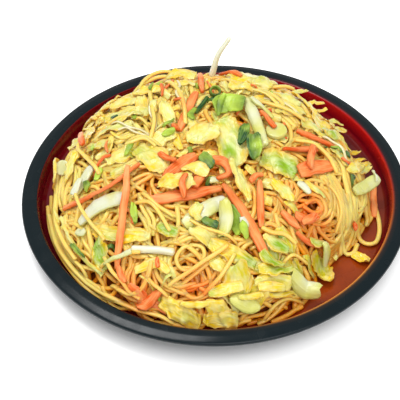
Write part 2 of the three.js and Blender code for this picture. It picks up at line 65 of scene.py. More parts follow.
def srgb(red, green, blue):
    """A colour given by its three screen values from 0 to 255, as linear light."""
    share = np.array([red, green, blue]) / 255
    linear = np.where(share <= 0.04045, share / 12.92, ((share + 0.055) / 1.055) ** 2.4)
    return (*linear.tolist(), 1.0)


def bearing_bump(angle, bearing, spread):
    """A smooth bump of height 1 round one bearing: e to the minus square of the gap over the
    spread."""
    gap = np.mod(np.degrees(angle) - bearing + 180, 360) - 180
    return np.exp(-((gap / spread) ** 2))


def heap_edge(angle):
    """Distance of the heap's foot from the middle: a shifted circle with two dents."""
    edge = HEAP_RADIUS + HEAP_SHIFT * np.cos(angle - np.radians(HEAP_SHIFT_BEARING))
    for depth, bearing, spread in HEAP_DENTS:
        edge = edge - depth * bearing_bump(angle, bearing, spread)
    return edge


def heap_height(x, y):
    """Height of the heap: a flat-topped dome of the share t of the way to its foot, tilted, with
    long lumps."""
    t = np.hypot(x, y) / heap_edge(np.arctan2(y, x))
    t = np.minimum(t, 1)
    dome = HEAP_HEIGHT * (1 - t**HEAP_FLATNESS) ** HEAP_SHOULDER
    lumps = LUMP_HEIGHT * np.sin(x / LUMP_ALONG + 1) * np.sin(y / LUMP_ACROSS + 0.4) * (1 - t**4)
    inside = FLOOR_HEIGHT + dome + HEAP_TILT * y * (1 - t**6) + lumps
    return np.where(t >= 1, FLOOR_HEIGHT, inside)


def soaked(points):
    """How much sauce and painted shade a point takes: none on top of the heap, all deep down."""
    top = heap_height(points[..., 0], points[..., 1])
    return np.clip((top - SAUCE_SHADE_FROM - points[..., 2]) / SAUCE_SHADE_SPAN, 0, 1)


# ---- Curves and surfaces as whole arrays ---------------------------------------------------------

WAVE_COUNT, WAVE_HEIGHT = 7, 2.6  # sines in a sum of waves, and about how high they add up


def dense_curve(points, per_span=60):
    """A smooth curve through the points. Each span is a cubic whose end slopes come from its
    neighbours, with every gap weighed by the square root of its length."""
    p = np.asarray(points, float)
    ghost = np.vstack([2 * p[0] - p[1], p, 2 * p[-1] - p[-2]])
    gaps = np.maximum(np.linalg.norm(np.diff(ghost, axis=0), axis=1), 1e-6)[:, None] ** 0.5
    t0, t1, t2 = gaps[:-2], gaps[1:-1], gaps[2:]
    a, b, c, d = ghost[:-3], ghost[1:-2], ghost[2:-1], ghost[3:]
    slope_b = t1 * ((b - a) / t0 - (c - a) / (t0 + t1) + (c - b) / t1)
    slope_c = t1 * ((c - b) / t1 - (d - b) / (t1 + t2) + (d - c) / t2)
    w = np.linspace(0, 1, per_span, endpoint=False)[None, :, None]
    b, c, slope_b, slope_c = (part[:, None, :] for part in (b, c, slope_b, slope_c))
    square, cube = 3 * (c - b) - 2 * slope_b - slope_c, 2 * (b - c) + slope_b + slope_c
    cubic = b + slope_b * w + square * w**2 + cube * w**3
    return np.vstack([cubic.reshape(-1, p.shape[1]), p[-1:]])


def curve_length(curve):
    """The summed length of a curve's spans."""
    return np.linalg.norm(np.diff(curve, axis=0), axis=1).sum()


def at_shares(curve, shares):
    """Points at the given shares of a curve's length, read off its summed length one coordinate
    after another."""
    length = np.concatenate([[0], np.cumsum(np.linalg.norm(np.diff(curve, axis=0), axis=1))])
    wanted = np.clip(shares, 0, 1) * length[-1]
    return np.stack([np.interp(wanted, length, column) for column in curve.T], -1)


def spline_weights(count, shares):
    """Weights that read a smooth curve through evenly spaced values at any shares from 0 to 1. The
    four nearest values count, by the usual cubic weights, and the ends are carried on straight."""
    t = np.asarray(shares) * (count - 1)
    first = np.clip(np.floor(t).astype(int), 0, count - 2)
    w = t - first
    cubic = [(-(w**3) + 2 * w**2 - w) / 2, (3 * w**3 - 5 * w**2 + 2) / 2]
    cubic += [(-3 * w**3 + 4 * w**2 + w) / 2, (w**3 - w**2) / 2]
    padded = np.zeros((*t.shape, count + 2))
    for k, weight in enumerate(cubic):
        np.put_along_axis(padded, (first + k)[..., None], weight[..., None], -1)
    padded[..., 1] += 2 * padded[..., 0]
    padded[..., 2] -= padded[..., 0]
    padded[..., count] += 2 * padded[..., count + 1]
    padded[..., count - 1] -= padded[..., count + 1]
    return padded[..., 1 : count + 1]


def waves(x, y, seed, length):
    """Uneven waves of height about 1: a sum of sines whose directions and phases are seeded."""
    random = np.random.default_rng(seed)
    total = 0.0
    for _ in range(WAVE_COUNT):
        turn, phase = random.uniform(0, 2 * np.pi, 2)
        stretch = random.uniform(0.6, 1.7) * length
        total = total + np.sin((x * np.cos(turn) + y * np.sin(turn)) * 2 * np.pi / stretch + phase)
    return total / WAVE_HEIGHT


class Surface:
    """A closed surface of rings, each a row of points round it. The first and last ring close to
    a point."""

    def __init__(self, rings, across=None, **attributes):
        count, around = rings.shape[:2]
        inner = rings[1:-1].reshape(-1, 3)
        self.points = np.vstack([inner, rings[0].mean(0), rings[-1].mean(0)])
        self._join(count, around)
        self._unwrap(count, around, across)
        self.attributes = {}
        for name, values in attributes.items():
            values = np.broadcast_to(values, rings.shape[:2])
            ends = [values[0].mean(), values[-1].mean()]
            self.attributes[name] = np.concatenate([values[1:-1].ravel(), ends])
        self._face_outwards()

    def _join(self, count, around):
        """Four-cornered faces between neighbouring rings, and a fan of triangles at each end."""
        i, k = np.meshgrid(np.arange(count - 3), np.arange(around), indexing="ij")
        here, ahead = i.ravel() * around, (i.ravel() + 1) * around
        k = k.ravel()
        after = (k + 1) % around
        self.quads = np.stack([here + k, ahead + k, ahead + after, here + after], 1)
        k = np.arange(around)
        after = (k + 1) % around
        last = (count - 3) * around
        start, end = (count - 2) * around, (count - 2) * around + 1
        first_fan = np.stack([np.full(around, start), k, after], 1)
        last_fan = np.stack([np.full(around, end), last + after, last + k], 1)
        self.triangles = np.vstack([first_fan, last_fan])

    def _unwrap(self, count, around, across):
        """Lays the surface out flat: one way is the share along the rings, the other the share
        across."""
        across = np.linspace(0, 1, around + 1) if across is None else np.append(across, across[0])
        along = np.linspace(0, 1, count)
        i, k = np.meshgrid(np.arange(1, count - 2), np.arange(around), indexing="ij")
        i, k = i.ravel(), k.ravel()
        corners = [(i, k), (i + 1, k), (i + 1, k + 1), (i, k + 1)]
        self.quad_uv = np.stack([np.stack([along[r], across[c]], 1) for r, c in corners], 1)
        k = np.arange(around)
        middle = (across[k] + across[k + 1]) / 2
        rows = np.ones(around)
        inner, outer = along[1] * rows, along[-2] * rows
        first = [(0 * rows, middle), (inner, across[k]), (inner, across[k + 1])]
        last = [(rows, middle), (outer, across[k + 1]), (outer, across[k])]
        fans = [np.stack([np.stack(corner, 1) for corner in fan], 1) for fan in (first, last)]
        self.triangle_uv = np.vstack(fans)

    def _face_outwards(self):
        """Turns every face round where the enclosed volume comes out negative."""
        middle = self.points.mean(0)
        fans = [self.triangles, self.quads[:, [0, 1, 2]], self.quads[:, [0, 2, 3]]]
        faces = np.concatenate(fans)
        a, b, c = (self.points[faces[:, k]] - middle for k in range(3))
        if np.einsum("ij,ij->", a, np.cross(b, c)) < 0:
            for part in ("quads", "quad_uv", "triangles", "triangle_uv"):
                setattr(self, part, getattr(self, part)[:, ::-1])


def joined_mesh(name, surfaces):
    """One mesh of all the surfaces, in metres, with their layouts and attributes."""
    offsets = np.cumsum([0] + [len(s.points) for s in surfaces])
    points = np.concatenate([s.points for s in surfaces]) * MM
    quads = np.concatenate([s.quads + offset for s, offset in zip(surfaces, offsets)])
    triangles = np.concatenate([s.triangles + offset for s, offset in zip(surfaces, offsets)])
    corners = np.concatenate([quads.ravel(), triangles.ravel()])
    sizes = np.concatenate([np.full(len(quads), 4), np.full(len(triangles), 3)])
    starts = np.concatenate([[0], np.cumsum(sizes)[:-1]])
    mesh = bpy.data.meshes.new(name)
    mesh.vertices.add(len(points))
    mesh.vertices.foreach_set("co", points.astype(np.float32).ravel())
    mesh.loops.add(len(corners))
    mesh.loops.foreach_set("vertex_index", corners.astype(np.int32))
    mesh.polygons.add(len(sizes))
    mesh.polygons.foreach_set("loop_start", starts.astype(np.int32))
    mesh.update(calc_edges=True)
    parts = ("quad_uv", "triangle_uv")
    flat = [getattr(s, part).reshape(-1, 2) for part in parts for s in surfaces]
    layout = mesh.uv_layers.new(name="layout")
    layout.uv.foreach_set("vector", np.concatenate(flat).astype(np.float32).ravel())
    for key in surfaces[0].attributes:
        values = np.concatenate([s.attributes[key] for s in surfaces]).astype(np.float32)
        mesh.attributes.new(key, "FLOAT", "POINT").data.foreach_set("value", values)
    mesh.polygons.foreach_set("use_smooth", np.ones(len(mesh.polygons), bool))
    return mesh


def make_piece(name, surfaces, material, nodes=()):
    """One object of all the surfaces. It rides on the plate's body."""
    mesh = joined_mesh(name, surfaces)
    mesh.materials.append(material)
    if mesh.validate():
        raise RuntimeError(f"{name}: the mesh had faults")
    piece = bpy.data.objects.new(name, mesh)
    bpy.context.scene.collection.objects.link(piece)
    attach(piece, "root")
    if nodes:
        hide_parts(*nodes)
    return piece


# ---- The pile: what lies on the plate so far -----------------------------------------------------

CELL = 0.8  # distance between the nodes of the height maps
MAP_REACH, MAP_MARGIN = 112, 3  # half the maps' width, and the border that no ball's middle enters
MARKS = 17  # points marked along each side of a solid's triangle


def node_triangles(name):
    """Corners of a solid's triangles, in millimetres, as one array."""
    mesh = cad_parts[name].data
    mesh.calc_loop_triangles()
    points = np.empty(len(mesh.vertices) * 3, np.float32)
    mesh.vertices.foreach_get("co", points)
    corners = np.empty(len(mesh.loop_triangles) * 3, np.int32)
    mesh.loop_triangles.foreach_get("vertices", corners)
    return points.reshape(-1, 3)[corners].reshape(-1, 3, 3).astype(float) / MM


class Pile:
    """Height maps over the plate. `top` is what lies there, `limit` the lowest underside of the
    toppings, and `cover` their highest top."""

    def __init__(self, core):
        axis = np.arange(-MAP_REACH, MAP_REACH + CELL, CELL)
        x, y = np.meshgrid(axis, axis, indexing="ij")
        self.top = core(x, y)
        self.limit = np.full(x.shape, np.inf)
        self.cover = np.full(x.shape, -np.inf)

    def add_toppings(self, names):
        """Marks points spread over every triangle of the toppings, on the four map nodes round
        each. The upright sprout covers nothing."""
        share = np.linspace(0, 1, MARKS)
        inside = share[:, None] + share[None, :] <= 1.0001
        u, v = (part[inside][None, :, None] for part in np.meshgrid(share, share, indexing="ij"))
        for name in names:
            corners = node_triangles(name)
            a, b, c = corners[:, :1], corners[:, 1:2], corners[:, 2:]
            points = (a + (b - a) * u + (c - a) * v).reshape(-1, 3)
            i, j = np.floor((points[:, :2].T + MAP_REACH) / CELL).astype(int)
            for di, dj in ((0, 0), (1, 0), (0, 1), (1, 1)):
                np.minimum.at(self.limit, (i + di, j + dj), points[:, 2])
                if name != "sprout_tall":
                    np.maximum.at(self.cover, (i + di, j + dj), points[:, 2])

    def _ball(self, plan, radius):
        """Map nodes under a ball at each point of the plan, and how far its surface is from its
        middle there."""
        reach = int(np.ceil(radius / CELL))
        steps = np.arange(-reach, reach + 2)
        di, dj = (part.ravel() for part in np.meshgrid(steps, steps, indexing="ij"))
        kept = np.clip(plan, MAP_MARGIN - MAP_REACH, MAP_REACH - MAP_MARGIN)
        base = np.floor((kept + MAP_REACH) / CELL).astype(int)
        i, j = base[:, :1] + di, base[:, 1:] + dj
        across, up = i * CELL - MAP_REACH - plan[:, :1], j * CELL - MAP_REACH - plan[:, 1:]
        away = across**2 + up**2
        return i, j, away <= radius**2, np.sqrt(np.maximum(radius**2 - away, 0))

    def rest(self, plan, radius):
        """Height of the middle of a ball that rests on the pile at each point."""
        i, j, under, rise = self._ball(plan, radius)
        return np.where(under, self.top[i, j] + rise, -np.inf).max(1)

    def room(self, plan, radius):
        """Highest middle that a ball can have under the toppings at each point."""
        i, j, under, rise = self._ball(plan, radius)
        return np.where(under, self.limit[i, j] - rise, np.inf).min(1)

    def press(self, points, radius):
        """Makes balls at these points part of the pile."""
        i, j, under, rise = self._ball(points[:, :2], radius)
        np.maximum.at(self.top, (i[under], j[under]), (points[:, 2:] + rise)[under])

    def close_over(self):
        """The toppings become part of what lies there, and no longer limit what is laid."""
        self.top = np.maximum(self.top, self.cover)
        self.limit[:] = np.inf


# ---- Shader parts --------------------------------------------------------------------------------

WHITE, MID_GREY, BLACK = (1.0, 1.0, 1.0, 1.0), (0.5, 0.5, 0.5, 1.0), (0.0, 0.0, 0.0, 1.0)
MOTTLE_CONTRAST = 4.0
OIL_SCALE, OIL_SPAN = 90.0, (0.35, 0.65)
FIBRE_SPAN = (0.4, 0.62)


def plug(tree, socket, value):
    """Links a socket to the input, or sets the input's own value."""
    if isinstance(value, bpy.types.NodeSocket):
        tree.links.new(value, socket)
    else:
        socket.default_value = value


def add_node(tree, kind, settings=None, **inputs):
    """A shader node with its settings and inputs. Underscores in input names stand for spaces."""
    node = tree.nodes.new(kind)
    for key, value in (settings or {}).items():
        setattr(node, key, value)
    for key, value in inputs.items():
        plug(tree, node.inputs[key.replace("_", " ")], value)
    return node


def math_node(tree, operation, *values, clamp=False):
    """The result of one step of arithmetic on sockets and numbers."""
    node = add_node(tree, "ShaderNodeMath", {"operation": operation, "use_clamp": clamp})
    for socket, value in zip(node.inputs, values):
        plug(tree, socket, value)
    return node.outputs[0]


def ramp(tree, value, span, results=(0.0, 1.0), smooth=False):
    """The value carried from its span onto the results, and held at their ends."""
    settings = {"interpolation_type": "SMOOTHSTEP"} if smooth else {}
    node = add_node(tree, "ShaderNodeMapRange", settings, Value=value, From_Min=span[0])
    for key, wanted in (("From Max", span[1]), ("To Min", results[0]), ("To Max", results[1])):
        plug(tree, node.inputs[key], wanted)
    return node.outputs["Result"]


def group_tree(name, inputs, outputs):
    """An empty node group with named sockets, its given sockets and its output node."""
    tree = bpy.data.node_groups.new(name, "ShaderNodeTree")
    for socket, kind, value in inputs:
        made = tree.interface.new_socket(socket, in_out="INPUT", socket_type=f"NodeSocket{kind}")
        if value is not None:
            made.default_value = value
    for socket, kind in outputs:
        tree.interface.new_socket(socket, in_out="OUTPUT", socket_type=f"NodeSocket{kind}")
    return tree, tree.nodes.new("NodeGroupInput").outputs, tree.nodes.new("NodeGroupOutput")


def mottle_group():
    """Cloudy change between two colours: noise, sharpened by its amount, shifts the given mix."""
    inputs = [("Vector", "Vector", None), ("Scale", "Float", 120.0), ("Mix", "Float", 0.5)]
    inputs += [("Amount", "Float", 0.6), ("Light", "Color", WHITE), ("Dark", "Color", MID_GREY)]
    tree, given, result = group_tree("Mottle", inputs, [("Color", "Color")])
    place, scale = given["Vector"], given["Scale"]
    noise = add_node(tree, "ShaderNodeTexNoise", Vector=place, Scale=scale, Detail=3.0)
    centred = math_node(tree, "SUBTRACT", noise.outputs["Fac"], 0.5)
    contrast = math_node(tree, "MULTIPLY", given["Amount"], MOTTLE_CONTRAST)
    share = math_node(tree, "MULTIPLY_ADD", centred, contrast, given["Mix"], clamp=True)
    colors = {"Factor": share, "A": given["Light"], "B": given["Dark"]}
    blend = add_node(tree, "ShaderNodeMix", {"data_type": "RGBA"}, **colors)
    plug(tree, result.inputs["Color"], blend.outputs["Result"])
    return tree


def moist_group():
    """Wet cooked skin: fine relief from noise, and a roughness that is low where oil stands."""
    inputs = [("Vector", "Vector", None), ("Scale", "Float", 500.0)]
    inputs += [("Dry", "Float", 0.5), ("Wet", "Float", 0.22)]
    outputs = [("Height", "Float"), ("Roughness", "Float")]
    tree, given, result = group_tree("Moist skin", inputs, outputs)
    place, scale = given["Vector"], given["Scale"]
    relief = add_node(tree, "ShaderNodeTexNoise", Vector=place, Scale=scale, Detail=4.0)
    oil = add_node(tree, "ShaderNodeTexNoise", Vector=place, Scale=OIL_SCALE, Detail=1.0)
    spread = ramp(tree, oil.outputs["Fac"], OIL_SPAN, (given["Wet"], given["Dry"]))
    plug(tree, result.inputs["Height"], relief.outputs["Fac"])
    plug(tree, result.inputs["Roughness"], spread)
    return tree


def fibre_group():
    """Fibres along a strip: noise on its layout, stretched along the strip, sharpened to lines."""
    inputs = [("Vector", "Vector", None), ("Across", "Float", 14.0), ("Along", "Float", 1.2)]
    tree, given, result = group_tree("Fibres", inputs, [("Lines", "Float")])
    parts = add_node(tree, "ShaderNodeSeparateXYZ", Vector=given["Vector"]).outputs
    along = math_node(tree, "MULTIPLY", parts["X"], given["Along"])
    across = math_node(tree, "MULTIPLY", parts["Y"], given["Across"])
    joined = add_node(tree, "ShaderNodeCombineXYZ", X=along, Y=across).outputs[0]
    noise = add_node(tree, "ShaderNodeTexNoise", Vector=joined, Scale=1.0, Detail=2.0)
    lines = ramp(tree, noise.outputs["Fac"], FIBRE_SPAN, smooth=True)
    plug(tree, result.inputs["Lines"], lines)
    return tree


STATE = {}


def shared(maker, *given):
    """A group, a material or the pile, made once, when the first step needs it."""
    if maker not in STATE:
        STATE[maker] = maker(*given)
    return STATE[maker]


def placed_group(tree, maker, **inputs):
    """One of the shared groups inside a material."""
    return add_node(tree, "ShaderNodeGroup", {"node_tree": shared(maker)}, **inputs)


class Finish:
    """A material under construction: its node tree, its main shader and the coordinates it
    reads."""

    def __init__(self, name):
        self.material = bpy.data.materials.new(name)
        self.material.use_nodes = True
        self.tree = self.material.node_tree
        self.shader = self.tree.nodes["Principled BSDF"]
        place = self.tree.nodes.new("ShaderNodeTexCoord")
        self.place, self.layout = place.outputs["Object"], place.outputs["UV"]

    def set(self, **values):
        """Sets or links the shader's own inputs."""
        for key, value in values.items():
            plug(self.tree, self.shader.inputs[key.replace("_", " ")], value)

    def attribute(self, name):
        """A number that the mesh carries at each point."""
        return add_node(self.tree, "ShaderNodeAttribute", {"attribute_name": name}).outputs["Fac"]

    def mottle(self, light, dark, mix=0.5, amount=0.3, scale=120.0):
        """Cloudy change between two colours round a mix."""
        colors = {"Light": light, "Dark": dark, "Mix": mix, "Amount": amount, "Scale": scale}
        group = placed_group(self.tree, mottle_group, Vector=self.place, **colors)
        return group.outputs["Color"]

    def blend(self, share, first, second):
        """The first colour turned into the second by a share."""
        colors = {"Factor": share, "A": first, "B": second}
        mix = add_node(self.tree, "ShaderNodeMix", {"data_type": "RGBA"}, **colors)
        return mix.outputs["Result"]

    def tint(self, mask, base, share, second):
        """The base colour, carried by a share towards the second where the mask is high."""
        return self.blend(mask, base, self.blend(share, base, second))

    def fibres(self, across, along):
        """Lines that run along a strip, this many across it and along it."""
        counts = {"Across": across, "Along": along}
        group = placed_group(self.tree, fibre_group, Vector=self.layout, **counts)
        return group.outputs["Lines"]

    def moist(self, scale=500.0, dry=0.5, wet=0.22, strength=0.25, distance=0.0004):
        """Gives the shader the roughness and fine relief of wet cooked skin."""
        sizes = {"Scale": scale, "Dry": dry, "Wet": wet}
        skin = placed_group(self.tree, moist_group, Vector=self.place, **sizes)
        depth = {"Strength": strength, "Distance": distance}
        bump = add_node(self.tree, "ShaderNodeBump", Height=skin.outputs["Height"], **depth)
        self.set(Roughness=skin.outputs["Roughness"], Normal=bump.outputs["Normal"])
        return bump.outputs["Normal"]

    def ridges(self, height, normal, strength, distance=0.0005):
        """Adds a second relief over the first."""
        depth = {"Strength": strength, "Distance": distance}
        bump = add_node(self.tree, "ShaderNodeBump", Height=height, Normal=normal, **depth)
        self.set(Normal=bump.outputs["Normal"])

    def flesh(self, weight, scale, radius):
        """Lets light into the piece: how much, how far in metres, and for each colour."""
        self.set(Subsurface_Weight=weight, Subsurface_Scale=scale, Subsurface_Radius=radius)


# ---- Plate ---------------------------------------------------------------------------------------

# Half the plate's section, from the middle of its underside round to the middle of its floor.
PLATE_PROFILE = [
    (0, 7.2), (60.5, 7.2), (61.5, 0), (66, 0), (67.5, 7.2), (103.2, 7.8), (109.7, 10.6),
    (113.2, 17.4), (118.9, 18.1), (119.95, 19.2), (119.6, 20.7), (118.5, 21.2), (115, 22.1),
    (110.9, 22.2), (109.7, 21.5),
    (108.3, 12.8), (106, 10.6), (0, 10.6),
]
DEEP_RIM, DEEP_WALL, DEEP_FLOOR = srgb(13, 28, 33), srgb(88, 2, 22), srgb(122, 42, 12)
# Painted shade inside the plate, then the painted red and orange highlights on the lip.
PAINTED_SHADE_COLOR, RED_LIP_HIGHLIGHT, LIP_HIGHLIGHT = srgb(60, 12, 18), srgb(190, 20, 20), srgb(255, 164, 70)
RIM_TO_WALL_COAT = (0.03, 0.35)


def rounded_profile(corners, cut, steps=6):
    """The profile with each corner replaced by a parabola between points `cut` before and after
    it, or at most 0.45 of the way to the next corner."""
    p = np.asarray(corners, float)
    before, here, after = p[:-2], p[1:-1], p[2:]
    back, ahead = before - here, after - here
    long_back = np.linalg.norm(back, axis=1, keepdims=True)
    long_ahead = np.linalg.norm(ahead, axis=1, keepdims=True)
    start = here + back * np.minimum(cut / long_back, 0.45)
    end = here + ahead * np.minimum(cut / long_ahead, 0.45)
    w = np.linspace(0, 1, steps)[None, :, None]
    start, here, end = start[:, None], here[:, None], end[:, None]
    arcs = start * (1 - w) ** 2 + here * 2 * w * (1 - w) + end * w**2
    return np.vstack([p[:1], arcs.reshape(-1, 2), p[-1:]])


def turned(profile, steps):
    """A surface of revolution: every profile point carried round the upright axis."""
    angle = np.linspace(0, 2 * np.pi, steps, endpoint=False)[None, :]
    r, z = profile[:, :1], profile[:, 1:]
    return np.stack([r * np.cos(angle), r * np.sin(angle), z + 0 * angle], -1)


def lacquer_material(settings):
    """Black lacquer on the rim, red inside on the wall, browner on the floor for a film of sauce
    and a painted reflection of the food, painted highlights on the lip, and painted shade inside."""
    finish = Finish("lacquer")
    inside, floor = finish.attribute("inside"), finish.attribute("floor")
    lip, flush, gloom = (finish.attribute(name) for name in ("lip", "flush", "gloom"))
    rim = finish.mottle(settings.rim_color, DEEP_RIM, mix=0.4, amount=0.2, scale=18.0)
    wall = finish.mottle(settings.wall_color, DEEP_WALL, mix=0.35, amount=0.25, scale=35.0)
    # The floor's brown stands for a film of sauce and a painted reflection of the food.
    sauce = finish.mottle(settings.floor_color, DEEP_FLOOR, mix=0.4, amount=0.35, scale=60.0)
    # Painted shade inside the plate: at the front left, on the floor at the back right, on the wall
    # at the right.
    within = finish.blend(gloom, finish.blend(floor, wall, sauce), PAINTED_SHADE_COLOR)
    # Painted red highlight on the lip at the back right.
    color = finish.blend(flush, finish.blend(inside, rim, within), RED_LIP_HIGHLIGHT)
    # Painted orange highlight on the lip at the front right.
    finish.set(Base_Color=finish.blend(lip, color, LIP_HIGHLIGHT))
    finish.moist(scale=900.0, dry=0.3, wet=0.18, strength=0.03, distance=0.0002)
    coat = ramp(finish.tree, inside, (0.0, 1.0), RIM_TO_WALL_COAT)
    finish.set(Coat_Weight=coat, Coat_Roughness=0.1, Specular_IOR_Level=0.2)
    return finish.material


# ---- Noodles -------------------------------------------------------------------------------------

CORE_DEPTH, CORE_SHARE = 7.5, 0.955  # how far the core is lowered and drawn in
CAP_SHARE = 0.985
# The colour deep in the heap: sauce, and painted shade.
COLOR_OF_SAUCE_AND_SHADE, DEEP_CORE = srgb(160, 80, 10), srgb(110, 44, 4)
NOODLE_SIDES = 8
LOOSE_REACH = 98  # the middle of a loose noodle lies within this
SWAYS = [((0.01, 0.05), (30, 90)), ((0.02, 0.08), (12, 28))]  # bends for each mm, and wavelengths


def core_height(x, y):
    """The core under the noodles: the heap drawn in and lowered, and never below the floor."""
    return np.maximum(FLOOR_HEIGHT, heap_height(x / CORE_SHARE, y / CORE_SHARE) - CORE_DEPTH)


def noodle_cap(plan, allow):
    """Highest middle of a noodle: a hair outside the heap, plus what the layer is allowed."""
    return heap_height(plan[:, 0] * CAP_SHARE, plan[:, 1] * CAP_SHARE) + allow


# Noodles laid along given paths: how many side by side, and the points that the middle one passes.
HAND_LAID = [
    (2, [(-86, 20), (-91, 16), (-92, 4), (-86, -3), (-78, -9)]),
    (3, [(-93, 14), (-95, 2), (-94, -12), (-93, -24)]),
    (2, [(-86, 2), (-87, -9), (-88, -22), (-86, -32)]),
    (2, [(-82, -5), (-83, -12), (-84, -21)]),
    (2, [(-31, 40), (-35, 27), (-36, 13), (-37, 1)]),
    (2, [(-68, 8), (-58, 13), (-48, 17)]),
    (2, [(-60, 8), (-49, 8), (-39, 2)]),
    (3, [(-43, 36), (-39, 24), (-38, 12), (-39, 3)]),
    (2, [(-27, 52), (-33, 40), (-34, 26), (-32, 10)]),
    (3, [(-25, 58), (-22, 43), (-23, 30), (-21, 17)]),
    (2, [(-20, 62), (-17, 46), (-18, 29), (-22, 15)]),
    (3, [(-66, 46), (-56, 50), (-46, 46), (-38, 38)]),
    (2, [(-72, 24), (-62, 29), (-52, 26), (-44, 18)]),
    (2, [(-75, 12), (-68, 17), (-58, 17)]),
    (3, [(1, 56), (14, 47), (27, 41), (42, 41)]),
    (3, [(5, 48), (19, 42), (31, 37), (45, 30)]),
    (3, [(22, 35), (31, 31), (42, 28), (52, 20)]),
    (2, [(38, 46), (50, 44), (60, 36), (66, 27)]),
    (3, [(72, 9), (79, -2), (82, -14), (83, -26), (81, -37)]),
    (3, [(66, -12), (72, -20), (75, -28), (75, -38)]),
    (2, [(60, -15), (67, -21), (70, -28), (70, -37)]),
    (2, [(42, -22), (46, -31), (45, -40)]),
    (1, [(-98, -5), (-98, -24), (-92, -44), (-84, -59), (-76, -69), (-64, -80)]),
    (2, [(-93, -30), (-86, -49), (-77, -61), (-67, -69)]),
    (2, [(-90, -36), (-84, -41), (-79, -50), (-82, -58)]),
    (2, [(-43, -34), (-39, -46), (-37, -54), (-39, -62)]),
    (2, [(-45, -37), (-36, -44), (-29, -50), (-21, -52)]),
    (1, [(-54, -60), (-49, -68), (-43, -71), (-34, -70), (-24, -71)]),
    (2, [(-36, -70), (-40, -76), (-40, -83), (-43, -90), (-48, -90), (-55, -86), (-61, -80),
        (-64, -75)]),
    (2, [(-46, -73), (-47, -80), (-46, -86), (-43, -91)]),
    (2, [(-50, -70), (-52, -78), (-50, -84)]),
    (1, [(-33, -73), (-37, -79), (-37, -85), (-31, -86), (-24, -84)]),
    (3, [(-78, -38), (-74, -49), (-70, -59), (-70, -66)]),
    (1, [(-22, -46), (-21, -56), (-23, -65), (-28, -72)]),
    (2, [(-22, -58), (-13, -60), (-4, -66), (1, -73)]),
    (2, [(-8, -59), (0, -64), (8, -67), (19, -69)]),
    (2, [(2, -78), (4, -86), (3, -91), (-3, -95), (-10, -96), (-19, -93)]),
    (1, [(-19, -88), (-16, -92), (-10, -94), (-4, -91), (0, -87)]),
    (1, [(-39, -83), (-30, -90), (-22, -94)]),
    (2, [(3, -76), (8, -80), (17, -80), (25, -78)]),
    (1, [(45, -27), (44, -36), (43, -45), (44, -52), (47, -59)]),
    (1, [(67, -21), (69, -31), (67, -36), (61, -41), (61, -45), (67, -46), (72, -44)]),
    (2, [(78, -20), (81, -29), (80, -37), (77, -47)]),
    (1, [(74, -34), (76, -41), (79, -46), (83, -45), (86, -38)]),
    (1, [(86, -10), (84, -26), (87, -34), (92, -38), (97, -37), (100, -30), (101, -20), (100, -8)]),
    (1, [(89, -4), (93, -10), (96, -15)]),
    (2, [(46, -38), (50, -32), (58, -28), (65, -29), (67, -35), (63, -40), (55, -44)]),
    (1, [(53, -36), (59, -32), (63, -35), (58, -39), (52, -38)]),
    (2, [(51, -81), (40, -88), (27, -95)]),
    (1, [(51, -68), (54, -73), (53, -79), (44, -86)]),
    (2, [(-30, -72), (-31, -79), (-28, -86), (-20, -89), (-11, -88)]),
    (2, [(-25, -70), (-27, -78), (-24, -84), (-17, -86)]),
    (1, [(-12, -69), (-18, -70), (-22, -75), (-20, -80), (-14, -82), (-8, -79), (-6, -74),
        (-8, -70), (-14, -68)]),
    (1, [(-20, -67), (-12, -65), (-5, -68), (1, -74)]),
    (1, [(8, -71), (-1, -77), (-9, -82), (-16, -86), (-25, -91)]),
]
# The same, with the height above where it would rest: a standing arch, and a tip that sticks out.
LIFTED = [
    (1, [(-50, 54, -2), (-45, 65, 5), (-36, 72, 7), (-27, 70, 4), (-22, 60, -2)]),
    (1, [(-53, 50, -1), (-47, 62, 2), (-37, 69, 3), (-28, 66, 1), (-24, 56, -2)]),
    (1, [(28, 55, -1), (40, 57, 2), (50, 60, 5)]),
    (1, [(-103, 2, 0), (-100, -26, 0), (-90, -51, 0), (-78, -68, 0)]),
    (1, [(-104, -8, 1), (-100, -30, 3), (-91, -52, 3), (-76, -73, 2), (-60, -85, 0)]),
    (1, [(-102, -18, 4), (-94, -45, 5.5), (-82, -64, 5), (-67, -79, 3), (-50, -90, 0)]),
    (1, [(-97, -12, 3), (-96, -30, 5), (-90, -47, 6), (-82, -60, 5)]),
    (1, [(-65, -81, 1), (-51, -90, 3), (-38, -96, 3), (-24, -100, 1)]),
]
